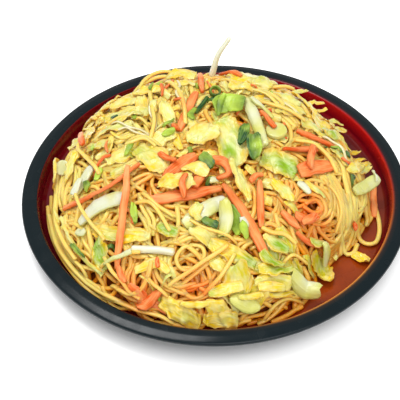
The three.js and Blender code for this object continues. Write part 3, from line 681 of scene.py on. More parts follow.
# Laid over the toppings.
ON_TOP = [
    (1, [(-66, -70), (-58, -71), (-50, -70), (-43, -71)]),
    (1, [(-92, -44), (-84, -58), (-75, -69)]),
    (1, [(-42, -37), (-33, -47), (-24, -52)]),
    (1, [(-26, -88), (-17, -85), (-9, -81), (-1, -77), (7, -71)]),
    (1, [(11, -75), (7, -82), (2, -88), (-6, -93)]),
    (1, [(-82, 22), (-84, 10), (-80, 2), (-74, -8), (-69, -17)]),
    (1, [(-41, 46), (-39, 31), (-37, 17), (-39, 1)]),
    (1, [(-31, 56), (-23, 43), (-19, 28), (-18, 16)]),
    (1, [(-66, 23), (-57, 25), (-49, 23), (-40, 17)]),
    (2, [(16, 50), (26, 46), (34, 39), (43, 33)]),
    (1, [(27, 36), (36, 31), (46, 28), (55, 23)]),
    (1, [(49, 7), (59, 5), (67, -2), (73, -12)]),
    (1, [(-14, -58), (-6, -63), (3, -66), (12, -69)]),
    (1, [(27, -59), (33, -62), (40, -61), (46, -63)]),
    (1, [(-46, -42), (-38, -45), (-31, -53), (-26, -61)]),
    (1, [(39, -74), (47, -68), (53, -68)]),
    (2, [(-54, 2), (-44, 4), (-34, -3)]),
    (1, [(4, 60), (13, 52), (22, 50)]),
    (1, [(-85, -19), (-80, -34), (-73, -47), (-64, -59)]),
    (1, [(68, -23), (73, -28), (75, -34), (72, -41)]),
    (1, [(-56, -83), (-49, -88), (-42, -88), (-38, -83), (-36, -77)]),
    (1, [(-39, -83), (-34, -88), (-27, -92)]),
    (1, [(-64, -67), (-59, -76), (-53, -82), (-49, -87), (-43, -91)]),
    (4, [(-64, 52), (-69, 57), (-73, 61), (-78, 63)]),
    (4, [(-71, 42), (-76, 47), (-81, 49), (-86, 52)]),
]
# Where the noodles are stained: x, y, spread, strength.
ORANGE_STAINS = [
    (57, -36, 14, 0.85), (60, -47, 9, 0.7), (46, -27, 13, 0.5), (-6, -20, 20, 0.6),
    (-14, -92, 12, 0.6), (-18, 30, 8, 0.5), (2, -12, 12, 0.6), (-50, -80, 9, 0.6), (98, -8, 8, 0.5),
    (-8, -90, 10, 0.7), (-42, -88, 10, 0.9), (30, -45, 12, 0.5), (-38, -30, 12, 0.4),
]
GOLDEN_STAINS = [
    (71, -24, 9, 0.5), (84, 34, 16, 0.8), (0, -8, 14, 0.6), (-58, -62, 20, 0.3), (22, -86, 20, 0.5),
    (-24, 40, 10, 0.4), (60, -70, 16, 0.5), (-66, 42, 10, 0.3), (-90, -60, 14, 0.4),
    (12, 74, 20, 0.3), (20, 95, 30, 0.2),
]
# Where the noodles are paler, with less of the colour that deep places take: x, y, spread,
# strength.
PALE_PLACES = [
    (-55, 24, 34, 0.9), (-25, 50, 26, 0.7), (25, 52, 32, 0.7), (62, 36, 28, 0.6),
    (-84, -20, 22, 0.5), (-52, -62, 34, 0.7), (-12, -76, 24, 0.3), (75, -22, 22, 0.7),
]
# Where the leaves are green.
GREEN_STAINS = [
    (9, -8, 6, 1.0), (3, 20, 6, 0.4), (40, -13, 9, 0.5), (-66, -64, 9, 0.6), (-76, 0, 8, 0.5),
    (34, -70, 9, 0.5), (-26, -60, 6, 0.7), (-62, 24, 10, 0.3), (72, 24, 8, 0.5), (-46, -8, 7, 0.4),
    (30, 62, 8, 0.3), (48, -68, 14, 0.4), (64, -62, 8, 0.3), (22, -84, 10, 0.3),
]


def stain(points, spots):
    """Strength of the stains at each point: the sum of round bumps, at most 1."""
    total = sum(
        strength * np.exp(-((points[..., 0] - x) ** 2 + (points[..., 1] - y) ** 2) / spread**2)
        for x, y, spread, strength in spots
    )
    return np.clip(total, 0, 1)


def wandering(random, length, step):
    """A loose noodle seen from above: its heading is the running sum of a bend that sways
    slowly."""
    count = int(length / step)
    s = np.arange(count) * step
    bend = random.choice([-1, 1]) / random.uniform(9, 30)
    sway = 0
    for strengths, lengths in SWAYS:
        strength = random.uniform(*strengths)
        turns = s * 2 * np.pi / random.uniform(*lengths)
        sway = sway + strength * np.sin(turns + random.uniform(0, 6.3))
    heading = random.uniform(0, 2 * np.pi) + np.cumsum(0.7 * bend + sway) * step
    way = np.stack([np.cos(heading), np.sin(heading)], 1).cumsum(0) * step
    away, bearing = LOOSE_REACH * np.sqrt(random.uniform(0, 1)), random.uniform(0, 2 * np.pi)
    return way - way[count // 2] + [away * np.cos(bearing), away * np.sin(bearing)]


def kept_in(plan, spare):
    """Points drawn inwards smoothly, so that none passes the heap's foot plus the spare."""
    r = np.maximum(np.hypot(*plan.T), 1e-6)
    edge = np.minimum(heap_edge(np.arctan2(plan[:, 1], plan[:, 0])) + spare, NOODLE_LIMIT)
    near = 0.82 * edge
    bent = near + (edge - near) * np.tanh((r - near) / (edge - near))
    return plan * (np.where(r > near, bent, r) / r)[:, None]


def side_by_side(copies, points, step, random):
    """Parallel noodles along one path: each is moved sideways, sways a little, and ends
    elsewhere. The third coordinate, where given, is a height above where it rests."""
    curve = dense_curve(points)
    shares = np.linspace(0, 1, max(6, int(curve_length(curve) / step)))
    middle = at_shares(curve, shares)
    along = np.gradient(middle[:, :2], axis=0)
    along /= np.linalg.norm(along, axis=1, keepdims=True)
    across = np.stack([-along[:, 1], along[:, 0]], 1)
    laid = []
    for k in range(copies):
        shift = (k - (copies - 1) / 2) * random.uniform(2.4, 3.4)
        sway = 1.2 * np.sin(shares * random.uniform(3, 9) + random.uniform(0, 6.3)) * (copies > 1)
        moved = middle.copy()
        moved[:, :2] += across * (shift + sway)[:, None]
        first, last = (random.uniform(0, 0.16, 2) * len(moved) * (copies > 1)).astype(int)
        laid.append(moved[first : len(moved) - last])
    return laid


def lay_noodle(pile, plan, radius, allow, dive=0.0, stiffness=0.05):
    """Middle line of a noodle that is let down onto the pile: it rests on what it meets, is held
    up between by its stiffness, goes under toppings, and its ends may dive."""
    lift = plan[:, 2] if plan.shape[1] == 3 else np.zeros(len(plan))
    flat = plan[:, :2]
    rest = pile.rest(flat, radius)
    z = rest.copy()
    for _ in range(40):
        z[1:-1] = np.maximum(z[1:-1], (z[:-2] + z[2:]) / 2 - stiffness)
    from_end = np.minimum(np.arange(len(z)), np.arange(len(z))[::-1])
    z = z + lift - dive * np.clip(1 - from_end / 4, 0, 1)
    z = np.minimum(z, noodle_cap(flat, allow) + np.maximum(lift, 0))
    z = np.minimum(z, pile.room(flat, radius))
    for _ in range(3):
        z[1:-1] = (z[:-2] + 2 * z[1:-1] + z[2:]) / 4
    line = np.column_stack([flat, np.maximum(z, FLOOR_HEIGHT + radius + 0.05)])
    dense = at_shares(line, np.linspace(0, 1, 2 * len(line)))
    pile.press(dense, radius)
    return line


def tube_rings(line, wide, high, sides, tip=0.6):
    """An oval profile carried along a line. At each point the profile stands square to the line,
    with its wide way level, and it shrinks to nothing over the rounded ends."""
    along = np.gradient(line, axis=0)
    along /= np.linalg.norm(along, axis=1, keepdims=True)
    side = np.cross(along, [0.03, 0.02, 1.0])
    side /= np.linalg.norm(side, axis=1, keepdims=True)
    up = np.cross(side, along)
    angle = np.linspace(0, 2 * np.pi, sides, endpoint=False)
    cosine, sine = np.cos(angle)[:, None], np.sin(angle)[:, None]
    ring = side[:, None] * cosine * wide + up[:, None] * sine * high
    body = line[:, None] + ring
    caps = []
    for place, outward in ((0, -1), (-1, 1)):
        middle = line[place] + along[place] * outward * tip * wide
        caps.append([(line[place] + middle) / 2 + ring[place] * 0.75, middle + ring[place] * 0])
    return np.concatenate([caps[0][::-1], body, caps[1]])


def noodle_surface(line, random, radius, tone):
    """One noodle, slightly flat, with its own thickness, paleness and stains. Its underside is more
    golden and orange as painted shade, and deep in the heap it takes sauce and painted shade."""
    wide = radius * random.uniform(0.95, 1.25)
    rings = tube_rings(line, wide, radius * random.uniform(0.75, 0.98), NOODLE_SIDES)
    height = rings[..., 2]
    # 1 on the underside of the noodle, where its tone and stains carry painted shade.
    under = 0.5 - (height - height.mean(1, keepdims=True)) / (2 * radius)
    deep = soaked(rings)
    pale, golden = stain(rings, PALE_PLACES), stain(rings, GOLDEN_STAINS)
    tones = tone - 0.3 * pale + 0.6 * golden + 1.3 * (under - 0.2) + (1 - 0.4 * pale) * deep
    oranges = stain(rings, ORANGE_STAINS) * random.uniform(0.5, 1.0) * (0.6 + 0.6 * under)
    oranges += 0.45 * (1 - 0.8 * pale) * deep * random.uniform(0.4, 1.0)
    tones, oranges = np.clip(tones, 0, 1), np.clip(oranges, 0, 1)
    return Surface(rings, tone=tones, orange=oranges, soaked=0.5 * deep)


def noodle_material(settings):
    """Pale, oily noodle: pale to golden along its tone, with orange stains, slightly
    translucent."""
    finish = Finish("noodle_flesh")
    colors, tone = (settings.pale_color, settings.golden_color), finish.attribute("tone")
    # The tone is higher on a noodle's underside and deep in the heap: painted shade.
    base = finish.mottle(*colors, mix=tone, amount=0.22, scale=70.0)
    stained = finish.blend(finish.attribute("orange"), base, settings.stained_color)
    # Deep in the heap the noodle takes the colour of sauce and painted shade.
    finish.set(Base_Color=finish.blend(finish.attribute("soaked"), stained, COLOR_OF_SAUCE_AND_SHADE))
    finish.moist(scale=700.0, dry=0.42, wet=0.26, strength=0.12, distance=0.0003)
    finish.flesh(0.4, 0.003, (1.0, 0.55, 0.12))
    finish.set(Coat_Weight=0.2, Coat_Roughness=0.16, Specular_IOR_Level=0.25)
    return finish.material


def core_material(settings):
    """Depth between the noodles: brown for sauce, and dark as painted shade in the gaps."""
    finish = Finish("noodle_depth")
    depth = finish.mottle(settings.depth_color, DEEP_CORE, mix=0.4, amount=0.4, scale=160.0)
    finish.set(Base_Color=depth)
    finish.moist(scale=260.0, dry=0.7, wet=0.4, strength=0.6, distance=0.0012)
    return finish.material


# ---- Toppings ------------------------------------------------------------------------------------


def straight(x, y, heading, length):
    """End points of a straight piece from its middle, its heading in degrees and its length."""
    a = np.radians(heading)
    dx, dy = np.cos(a) * length / 2, np.sin(a) * length / 2
    return [(x - dx, y - dy), (x + dx, y + dy)]


OUTLINES = {
    "shred": lambda u: 0.62 + 0.38 * np.sin(np.pi * u) ** 0.5,
    "leaf": lambda u: 0.45 + 0.55 * np.sin(np.pi * (0.08 + 0.84 * u)) ** 0.8,
    "fan": lambda u: 0.35 + 0.65 * np.sin(np.pi * (0.05 + 0.55 * u)),
    "disc": lambda u: np.maximum(0.4, np.sqrt(np.maximum(1 - (2 * u - 1) ** 2, 0))),
}

# Kinds of cut: the solids' thickness, rows, columns and outline, then how the real piece is
# finished. `square` is high for a square section and `blunt` for blunt ends, `half` is the number
# of faces across, `ragged` is the share by which the sides are uneven, `crumple` is in mm, `ruffle`
# is the length of its waves, and `thin` is the share by which the sides are thinner.
KINDS = {
    "carrot": dict(
        thickness=2.2, steps=6, columns=1, outline="shred",
        square=8, blunt=20, half=8, ragged=0.09, crumple=0.2, ruffle=9.0, thin=0.1,
    ),
    "cabbage": dict(
        thickness=0.9, steps=6, columns=3, outline="leaf",
        square=6, blunt=9, half=17, ragged=0.13, crumple=1.0, ruffle=8.0, thin=0.85,
    ),
    "rib": dict(
        thickness=3.2, steps=6, columns=2, outline="shred",
        square=2.6, blunt=9, half=10, ragged=0.05, crumple=0.25, ruffle=9.0, thin=0.3,
    ),
    "scallion": dict(
        thickness=1.5, steps=4, columns=2, outline="leaf",
        square=4, blunt=8, half=9, ragged=0.07, crumple=0.2, ruffle=6.0, thin=0.4,
    ),
}
PIECE_ROWS, SCRAP_ROWS = 44, 22

# Each piece: its path, its width, and what differs from its kind. `tone` runs from pale to strong.
CARROTS = {
    "left_long": ([(-91, -25), (-77, -29), (-62, -29), (-44, -18)], 4.5, dict(steps=8, tone=0.3)),
    "left_down": ([(-51, -22), (-52, -40), (-54, -57), (-56, -74)], 4.5, dict(steps=9, tone=0.25)),
    "centre_big": ([(-38, -41), (-18, -39), (4, -35)], 8, dict(steps=7, tone=0.6)),
    "centre_back": (straight(-21, -19, 45, 26), 6.5, dict(tone=0.6)),
    "centre_low": (straight(-9, -27, 72, 19), 6, dict(tone=0.55)),
    "centre_curl": ([(-2, -13), (6, -17), (9, -23), (1, -27)], 4.5, dict(steps=8, tone=0.4)),
    "back_tall": ([(-10, 75), (-9, 60), (-8, 43)], 3.5, dict(tone=0.6)),
    "back_lower": ([(-12, 45), (-16, 30), (-22, 11)], 5.5, dict(tone=0.35)),
    "left_high": ([(-83, 26), (-82, 18), (-80, 10)], 3.5, dict(tone=0.7)),
    "right_long": ([(5, -34), (14, -48), (21, -60), (30, -75)], 6.5, dict(steps=8, tone=0.2)),
    "right_upright": (straight(26, -42, 90, 32), 4, dict(tone=0.4)),
    "right_thin": (straight(61, 14, -7, 24), 3.5, dict(tone=0.7)),
    "right_flat": (straight(51, -2, 24, 23), 4.5, dict(tone=0.6)),
    "right_thick": (straight(60, -13, 33, 27), 8, dict(tone=0.45)),
    "right_edge": ([(101, 13), (99, 0), (98, -16)], 4.5, dict(tone=0.3)),
    "right_low": ([(46, -56), (54, -57), (61, -55)], 4.5, dict(tone=0.3)),
    "front_rim": ([(-30, -89), (-37, -92), (-44, -93)], 6, dict(outline="leaf", steps=5, tone=0.6)),
}
LEAVES = {
    "crown": ([(3, 18), (9, 3), (12, -17)], 20, dict(steps=7, tone=0.05, green=0.2)),
    "left_middle": ([(-48, -1), (-39, -9), (-29, -22)], 16, dict(tone=0.25, green=0.15)),
    "back_left": ([(-69, 33), (-56, 32), (-41, 29)], 14, dict(tone=0.35, green=0.1)),
    "left_high": ([(-77, 35), (-79, 26), (-81, 15)], 10, dict(tone=0.4, green=0.1)),
    "dome": ([(9, 61), (23, 65), (37, 57)], 22, dict(steps=7, tone=0.5, green=0.05)),
    "band": ([(19, 35), (38, 38), (57, 35)], 10, dict(steps=7, tone=0.35, green=0.1)),
    "back_right": ([(60, 43), (65, 35), (69, 25)], 10, dict(tone=0.7, green=0.1)),
    "right_pale": ([(27, -12), (38, -14), (48, -20)], 16, dict(tone=0.2, green=0.45)),
    "right_edge": ([(89, 8), (93, 14), (98, 21)], 6, dict(tone=0.4, green=0.1)),
    "yellow_bar": ([(-71, -49), (-56, -57), (-37, -61)], 8, dict(tone=0.55, green=0.1)),
    "left_front": ([(-69, -57), (-66, -64), (-62, -71)], 8, dict(tone=0.6, green=0.6)),
    "front_middle": ([(-4, -69), (10, -74), (23, -78)], 9, dict(tone=0.75, green=0.3)),
    "front_crinkled": ([(10, -81), (13, -87), (16, -92)], 16, dict(tone=0.6, green=0.25)),
    "yellow_front": ([(37, -72), (44, -75), (51, -75)], 9, dict(tone=1.0, green=0.35)),
    "rim_left": ([(-31, -92), (-20, -97), (-8, -101)], 7, dict(tone=0.9, green=0.0)),
    "rim_middle": ([(-7, -101), (3, -101), (13, -100)], 5, dict(tone=0.7, green=0.1)),
    "front_fall": ([(62, -54), (63, -62), (64, -70)], 13, dict(tone=0.95, green=0.15)),
    "floor_front_right": (
        [(82, -45), (87, -49), (92, -52)], 8, dict(steps=4, tone=1.0, green=0.1),
    ),
    "centre_cup": ([(-17, 2), (-7, 5), (3, 3)], 15, dict(tone=0.3, green=0.05)),
    "crinkled": (
        [(-33, -36), (-23, -33), (-13, -32)], 12, dict(outline="fan", tone=0.35, green=0.0),
    ),
    "curled_strip": ([(10, -19), (15, -30), (19, -44)], 8, dict(tone=0.1, green=0.0)),
}
RIBS = {
    "big_left": ([(-79, -41), (-67, -36), (-50, -37)], 10, dict(outline="leaf", tone=0.1)),
    "left_strip": ([(-73, -7), (-78, -14), (-83, -21)], 7, dict(tone=0.15)),
    "centre": ([(-18, -57), (-6, -49), (6, -41)], 11, dict(outline="leaf", tone=0.55)),
    "back_slant": ([(20, 32), (25, 14), (30, -6)], 5, dict(tone=0.65)),
    "onion": (
        [(43, -79), (52, -81), (60, -82)], 7,
        dict(outline="leaf", steps=4, thickness=2.4, tone=0.8),
    ),
    "front_chunk": ([(8, -95), (16, -96), (25, -96)], 7, dict(outline="disc", steps=4, tone=1.0)),
    "centre_leg": ([(6, -48), (7, -57), (5, -66)], 7, dict(tone=0.9)),
    "right_strip": ([(83, -16), (91, -7), (100, 3)], 6, dict(tone=1.0)),
}
GREENS = {
    "pale_leaf": ([(-1, 26), (8, 30), (18, 26)], 12, dict(steps=5, tone=0.2)),
    "dark_leaf": (straight(17, 3, 75, 16), 7, dict(tone=0.95)),
    "bundle": (straight(23, -9, 93, 17), 10, dict(tone=0.7)),
    "green_white": (straight(-5, -17, -55, 12), 7, dict(tone=0.75)),
    "centre_leaf": ([(8, -49), (11, -56), (14, -64)], 7, dict(tone=0.5)),
    "bright_strip": (straight(-47, -47, -80, 12), 4.5, dict(tone=0.1)),
}


def strip_plan(path, width, outline, steps, columns):
    """A strip seen from above: rows square to the path, as wide as the outline says at each row."""
    curve = dense_curve([point[:2] for point in path])
    u = np.linspace(0, 1, steps + 1)
    along = at_shares(curve, u + 2e-3) - at_shares(curve, u - 2e-3)
    along /= np.linalg.norm(along, axis=1, keepdims=True)
    half = width / 2 * OUTLINES[outline](u)
    v = np.linspace(-1, 1, columns + 1)
    across = np.stack([-along[:, 1], along[:, 0]], 1) * half[:, None]
    return at_shares(curve, u)[:, None, :] + across[:, None, :] * v[None, :, None]


def solid_underside(node, plan):
    """The underside of a laid solid: over each point of the plan, the lowest of the corners that
    lie there."""
    corners = node_triangles(node).reshape(-1, 3)
    away = np.linalg.norm(plan[:, :, None, :] - corners[None, None, :, :2], axis=-1)
    near = away < away.min(-1, keepdims=True) + 0.2
    height = np.where(near, corners[:, 2], np.inf).min(-1)
    return np.concatenate([plan, height[..., None]], -1)


def laid_underside(pile, plan, thickness, roll=0.0, stiffness=0.1):
    """The underside of a loose piece let down onto the pile, held level between high spots by its
    stiffness, and kept under the toppings. It is rolled about its middle line by an angle that
    grows along it."""
    rows, columns = plan.shape[:2]
    z = pile.rest(plan.reshape(-1, 2), 1.2).reshape(rows, columns) - 1.1
    for _ in range(20):
        z[1:-1] = np.maximum(z[1:-1], (z[:-2] + z[2:]) / 2 - stiffness)
        z[:, 1:-1] = np.maximum(z[:, 1:-1], (z[:, :-2] + z[:, 2:]) / 2 - stiffness)
        z[0] = np.maximum(z[0], 2 * z[1] - z[2] - 4 * stiffness)
        z[-1] = np.maximum(z[-1], 2 * z[-2] - z[-3] - 4 * stiffness)
    middle = plan.mean(1, keepdims=True)
    turn = (roll * np.linspace(0.4, 1.2, rows))[:, None]
    away = plan - middle
    side = np.linspace(-1, 1, columns)[None, :] * np.linalg.norm(away[:, :1], axis=-1)
    z = z + side * np.sin(turn) + 0.5 * np.abs(side).max() * np.abs(np.sin(turn))
    plan = middle + away * np.cos(turn)[..., None]
    room = pile.room(plan.reshape(-1, 2), 0.6).reshape(rows, columns)
    z = np.minimum(z, room - thickness - 0.4)
    return np.concatenate([plan, z[..., None]], -1)


def strip_surface(grid, look, seed, tone, green=0.0):
    """A closed strip on a grid of points. A smooth surface passes through the grid. Its section is
    a rounded rectangle, |v| to a power plus |w| to the same power equals 1, whose width and
    thickness shrink at the rounded ends. Its sides are uneven. Creases crumple both faces alike:
    they lie where seeded waves are 0."""
    half, ruffle = look["half"], look["ruffle"]
    s = np.linspace(0, 1, look["rows"])
    u = 0.4 * s + 0.6 * (0.5 - 0.5 * np.cos(np.pi * s))
    end = np.maximum(1 - np.abs(2 * u - 1) ** look["blunt"], 0) ** (1 / look["blunt"])
    v = np.sin(np.linspace(-1, 1, half + 1) * np.pi / 2)
    w = np.maximum(1 - np.abs(v) ** look["square"], 0) ** (1 / look["square"])
    v, w = np.concatenate([v, v[-2:0:-1]]), np.concatenate([w, -w[-2:0:-1]])
    along = u * curve_length(grid[:, 0])
    left, right = (
        waves(along, 13.0 * side, seed + side, 2 * ruffle)
        + 0.35 * waves(along, 0, seed - side, ruffle / 2.5)
        for side in (0, 1)
    )
    uneven = np.where(v[None, :] > 0, left[:, None], right[:, None])
    across = v[None, :] * end[:, None] * (1 + look["ragged"] * uneven * np.abs(v) ** 2)
    along_rows = np.einsum("ri,ijc->rjc", spline_weights(grid.shape[0], u), grid)

    def middle(shift):
        weights = spline_weights(grid.shape[1], (across + shift + 1) / 2)
        return np.einsum("rkj,rjc->rkc", weights, along_rows)

    sheet = middle(0)
    normal = np.cross(np.gradient(sheet, axis=0), middle(0.05) - middle(-0.05))
    normal /= np.maximum(np.linalg.norm(normal, axis=-1, keepdims=True), 1e-9)
    folds = 0.9 - 1.8 * np.abs(waves(sheet[..., 0], sheet[..., 1], seed + 7, 2 * ruffle))
    wrinkles = waves(sheet[..., 0], sheet[..., 1], seed + 9, ruffle / 2.2)
    crumple = look["crumple"] * ((0.5 + np.abs(across)) * folds + 0.4 * wrinkles)
    thin = 1 - look["thin"] * np.abs(v[None, :]) ** 2.5
    offset = look["thickness"] / 2 * (1 + w[None, :] * thin * np.sqrt(end)[:, None])
    rings = sheet + normal * (offset + np.maximum(crumple, -0.3))[..., None]
    x, y = rings[..., 0], rings[..., 1]
    # High at the sides and ends, on the underside and deep in the heap, where the materials put
    # painted shade; a leaf's thin sides are also yellower in themselves.
    edge = np.maximum(np.maximum(np.abs(across), 1 - end[:, None]) ** 3, 0.5 - 0.5 * w[None, :])
    edge = np.clip(edge + soaked(rings), 0, 1)
    tones = np.clip(tone + 0.3 * waves(x, y, seed + 3, 16.0), 0, 1)
    greens = green * (1 + waves(x, y, seed + 5, 22.0)) + stain(rings, GREEN_STAINS)
    greens = np.clip(greens, 0, 1)
    return Surface(rings, across=(v + 1) / 2, tone=tones, green=greens, edge=edge)


def lay_kind(kind, table, material):
    """Every piece of one kind, each over the solid that it replaces."""
    for seed, (name, (path, width, options)) in enumerate(table.items()):
        look = {"rows": PIECE_ROWS, "green": 0.0, **KINDS[kind], **options}
        node = f"{kind}_{name}"
        plan = strip_plan(path, width, look["outline"], look["steps"], look["columns"])
        grid = solid_underside(node, plan)
        surface = strip_surface(grid, look, 40 * seed + 11, look["tone"], look["green"])
        make_piece(f"{node}_cut", [surface], material, [node])


SLICE_STEPS = 40
# Slices: outer and inner radius, height, tilt and turn in degrees, and tone.
SLICES = {
    "rib_round_pale": (6.5, 0, 3, 0, 0, 0.8),
    "rib_left_disc": (4.8, 0, 2.4, 40, -30, 0.6),
    "scallion_ring": (3.8, 2.2, 5, 25, 20, 0.45),
}


def slice_surface(node, outer, inner, height, tilt, turn, tone):
    """A turned slice with a domed rim, tipped and turned about its middle, where its solid is."""
    low, high = (np.array(corner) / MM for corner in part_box(node))
    if inner:
        angle = np.linspace(0, 2 * np.pi, 14, endpoint=False)
        thick = (outer - inner) / 2
        across, up = thick * np.cos(angle), 0.95 * height / 2 * np.sin(angle)
        rings = hoop(np.stack([(outer + inner) / 2 + across, up], 1), SLICE_STEPS)
    else:
        corners = [(0, -height / 2), (outer, -height / 2), (outer, height / 2), (0, height / 2)]
        rings = turned(rounded_profile(corners, height * 0.4, 7), SLICE_STEPS)
    a, b = np.radians(tilt), np.radians(turn)
    tip = np.array([[1, 0, 0], [0, np.cos(a), -np.sin(a)], [0, np.sin(a), np.cos(a)]])
    spin = np.array([[np.cos(b), -np.sin(b), 0], [np.sin(b), np.cos(b), 0], [0, 0, 1]])
    placed = rings @ (spin @ tip).T + (low + high) / 2
    return Surface(placed, tone=tone, green=0.0, edge=0.0)


def hoop(section, steps):
    """A ring: a closed section carried round the upright axis. It is cut open where it starts and
    ends, and each cut is closed with a face."""
    angle = np.linspace(0, 2 * np.pi * 0.992, steps)[:, None]
    r, z = section[None, :, 0], section[None, :, 1]
    body = np.stack([r * np.cos(angle), r * np.sin(angle), z + 0 * angle], -1)
    ends = [face.mean(1, keepdims=True) + 0 * face for face in (body[:1], body[-1:])]
    return np.concatenate([ends[0], body, ends[1]])


def stick_line(node, path, radius):
    """Middle line of a round stick: its path seen from above, with the nearest corners' height."""
    corners = node_triangles(node).reshape(-1, 3)
    plan = at_shares(dense_curve(path), np.linspace(0, 1, 26))
    away = np.linalg.norm(plan[:, None] - corners[None, :, :2], axis=-1)
    weight = np.exp(-((away / (1.6 * radius)) ** 2))
    return np.column_stack([plan, (weight * corners[:, 2]).sum(1) / weight.sum(1)])


# ---- Scraps: small loose pieces, each its path, width, tone and, for a leaf, its green -----------

CARROT_SCRAPS = [
    ([(-33, -9), (-28, -15), (-23, -20)], 4.5, 0.8), ([(-26, 13), (-23, 8)], 4, 0.8),
    ([(59, 3), (57, -8), (55, -19)], 4.5, 0.6), ([(27, 20), (32, 15), (36, 10)], 4, 0.8),
    ([(3, 74), (10, 68), (17, 61)], 4.5, 0.7), ([(46, -46), (53, -47), (60, -41)], 5, 0.9),
    ([(50, -51), (55, -47), (58, -43)], 4, 0.7), ([(-33, -76), (-32, -82)], 2.6, 1.0),
    ([(38, -45), (43, -49), (48, -54)], 4, 0.4), ([(84, -34), (88, -36)], 3, 1.0),
    ([(-56, -75), (-54, -80), (-52, -84)], 4.5, 0.3), ([(20, -30), (24, -24), (28, -22)], 4, 0.5),
    ([(-16, -31), (-19, -37), (-17, -43)], 4, 0.6), ([(-46, 90), (-38, 94), (-28, 96)], 3.0, 0.6),
    ([(34, 94), (42, 91), (50, 86)], 3.0, 0.5),
]
LEAF_SCRAPS = [
    ([(-33, -56), (-27, -60), (-21, -63)], 8, 0.3, 0.5),
    ([(-103, -24), (-100, -31), (-98, -37)], 6, 0.8, 0.1),
    ([(22, -89), (33, -86), (44, -85)], 7, 0.5, 0.2),
    ([(13, -99), (20, -98), (28, -95)], 5, 0.9, 0.1),
    ([(-20, -98), (-11, -101), (-2, -102)], 6, 0.6, 0.0),
    ([(24, -93), (32, -92), (40, -89)], 6, 0.7, 0.1),
    ([(-95, -30), (-90, -44), (-84, -57), (-76, -68), (-66, -77)], 4, 0.2, 0.1),
    ([(-4, -94), (6, -93), (16, -90)], 8, 0.6, 0.2),
    ([(24, -83), (34, -82), (44, -78)], 8, 1.0, 0.2), ([(66, 24), (71, 23), (75, 20)], 8, 0.3, 0.4),
    ([(82, 46), (87, 46), (91, 42)], 6, 0.8, 0.2), ([(55, -57), (61, -56), (68, -53)], 9, 0.4, 0.2),
    ([(75, -52), (81, -57), (86, -60)], 4, 0.8, 0.1),
    ([(28, -62), (34, -66), (42, -68)], 9, 0.6, 0.35),
    ([(26, -72), (31, -77), (38, -80)], 8, 0.9, 0.3),
    ([(-20, -25), (-12, -22), (-4, -27)], 8, 0.5, 0.0),
    ([(33, -29), (40, -33), (44, -40)], 9, 0.6, 0.1), ([(70, 46), (77, 42), (84, 36)], 6, 1.0, 0.1),
    ([(74, 37), (81, 33), (88, 30)], 5, 0.9, 0.2), ([(-85, 8), (-88, -2), (-89, -10)], 6, 0.4, 0.1),
    ([(-60, 22), (-52, 26), (-44, 24)], 9, 0.25, 0.1),
    ([(-30, 62), (-22, 68), (-12, 66)], 10, 0.6, 0.1),
    ([(-8, -47), (-12, -53), (-8, -58)], 7, 0.3, 0.3), ([(84, 2), (90, 8), (92, 16)], 6, 0.9, 0.1),
    ([(80, -8), (86, -2), (88, 6)], 5, 0.7, 0.1),
    ([(-100, -2), (-102, 6), (-100, 14)], 5, 0.3, 0.0),
    ([(-70, 70), (-63, 76), (-54, 82)], 6, 0.4, 0.3),
    ([(-26, 97), (-16, 98), (-6, 98)], 6, 0.3, 0.4), ([(14, 98), (24, 96), (34, 93)], 6, 0.5, 0.2),
    ([(66, 74), (72, 68), (78, 61)], 6, 0.3, 0.4),
]
GREEN_SCRAPS = [
    ([(-49, 3), (-51, -2), (-53, -8)], 3.5, 0.35), ([(-7, -57), (-3, -60), (2, -62)], 6, 0.95),
    ([(-78, -19), (-75, -22)], 5, 0.8), ([(-71, -20), (-68, -13)], 4, 0.15),
    ([(-32, 5), (-24, 7)], 4, 0.05), ([(-88, -54), (-85, -59), (-81, -64)], 4, 0.3),
    ([(-13, 17), (-15, 22), (-12, 27)], 4, 0.1), ([(6, 34), (3, 28), (2, 20)], 3.5, 0.7),
    ([(15, -62), (18, -66)], 4, 0.5), ([(36, -62), (40, -60)], 3, 0.9),
    ([(-64, 30), (-60, 26)], 3, 0.6), ([(-50, 86), (-45, 90)], 3, 0.4),
    ([(56, 82), (61, 77)], 3, 0.6), ([(-86, -56), (-80, -66)], 3, 0.6),
]
WHITE_SCRAPS = [
    ([(21, 29), (28, 25), (35, 20)], 4, 0.8), ([(-3, -30), (1, -29)], 5, 0.3),
    ([(15, -58), (17, -62)], 4, 0.0), ([(-64, -71), (-56, -71), (-47, -70)], 2.4, 0.5),
    ([(-81, -47), (-78, -50), (-75, -49)], 4.5, 0.0), ([(48, -27), (52, -29), (55, -32)], 5, 0.1),
    ([(102, 3), (104, 0), (104, -4)], 2.5, 0.3), ([(-80, -16), (-84, -24)], 5, 0.0),
    ([(64, -56), (68, -60), (69, -65)], 6, 0.4), ([(-2, 99), (8, 99)], 3, 0.2),
]
# Carrot that lies under the larger pieces.
CARROT_UNDER = [
    ([(-50, -85), (-42, -91), (-32, -95)], 6, 0.6, 0.0),
    ([(-47, -92), (-39, -96), (-29, -99)], 7, 0.5, 0.0),
]
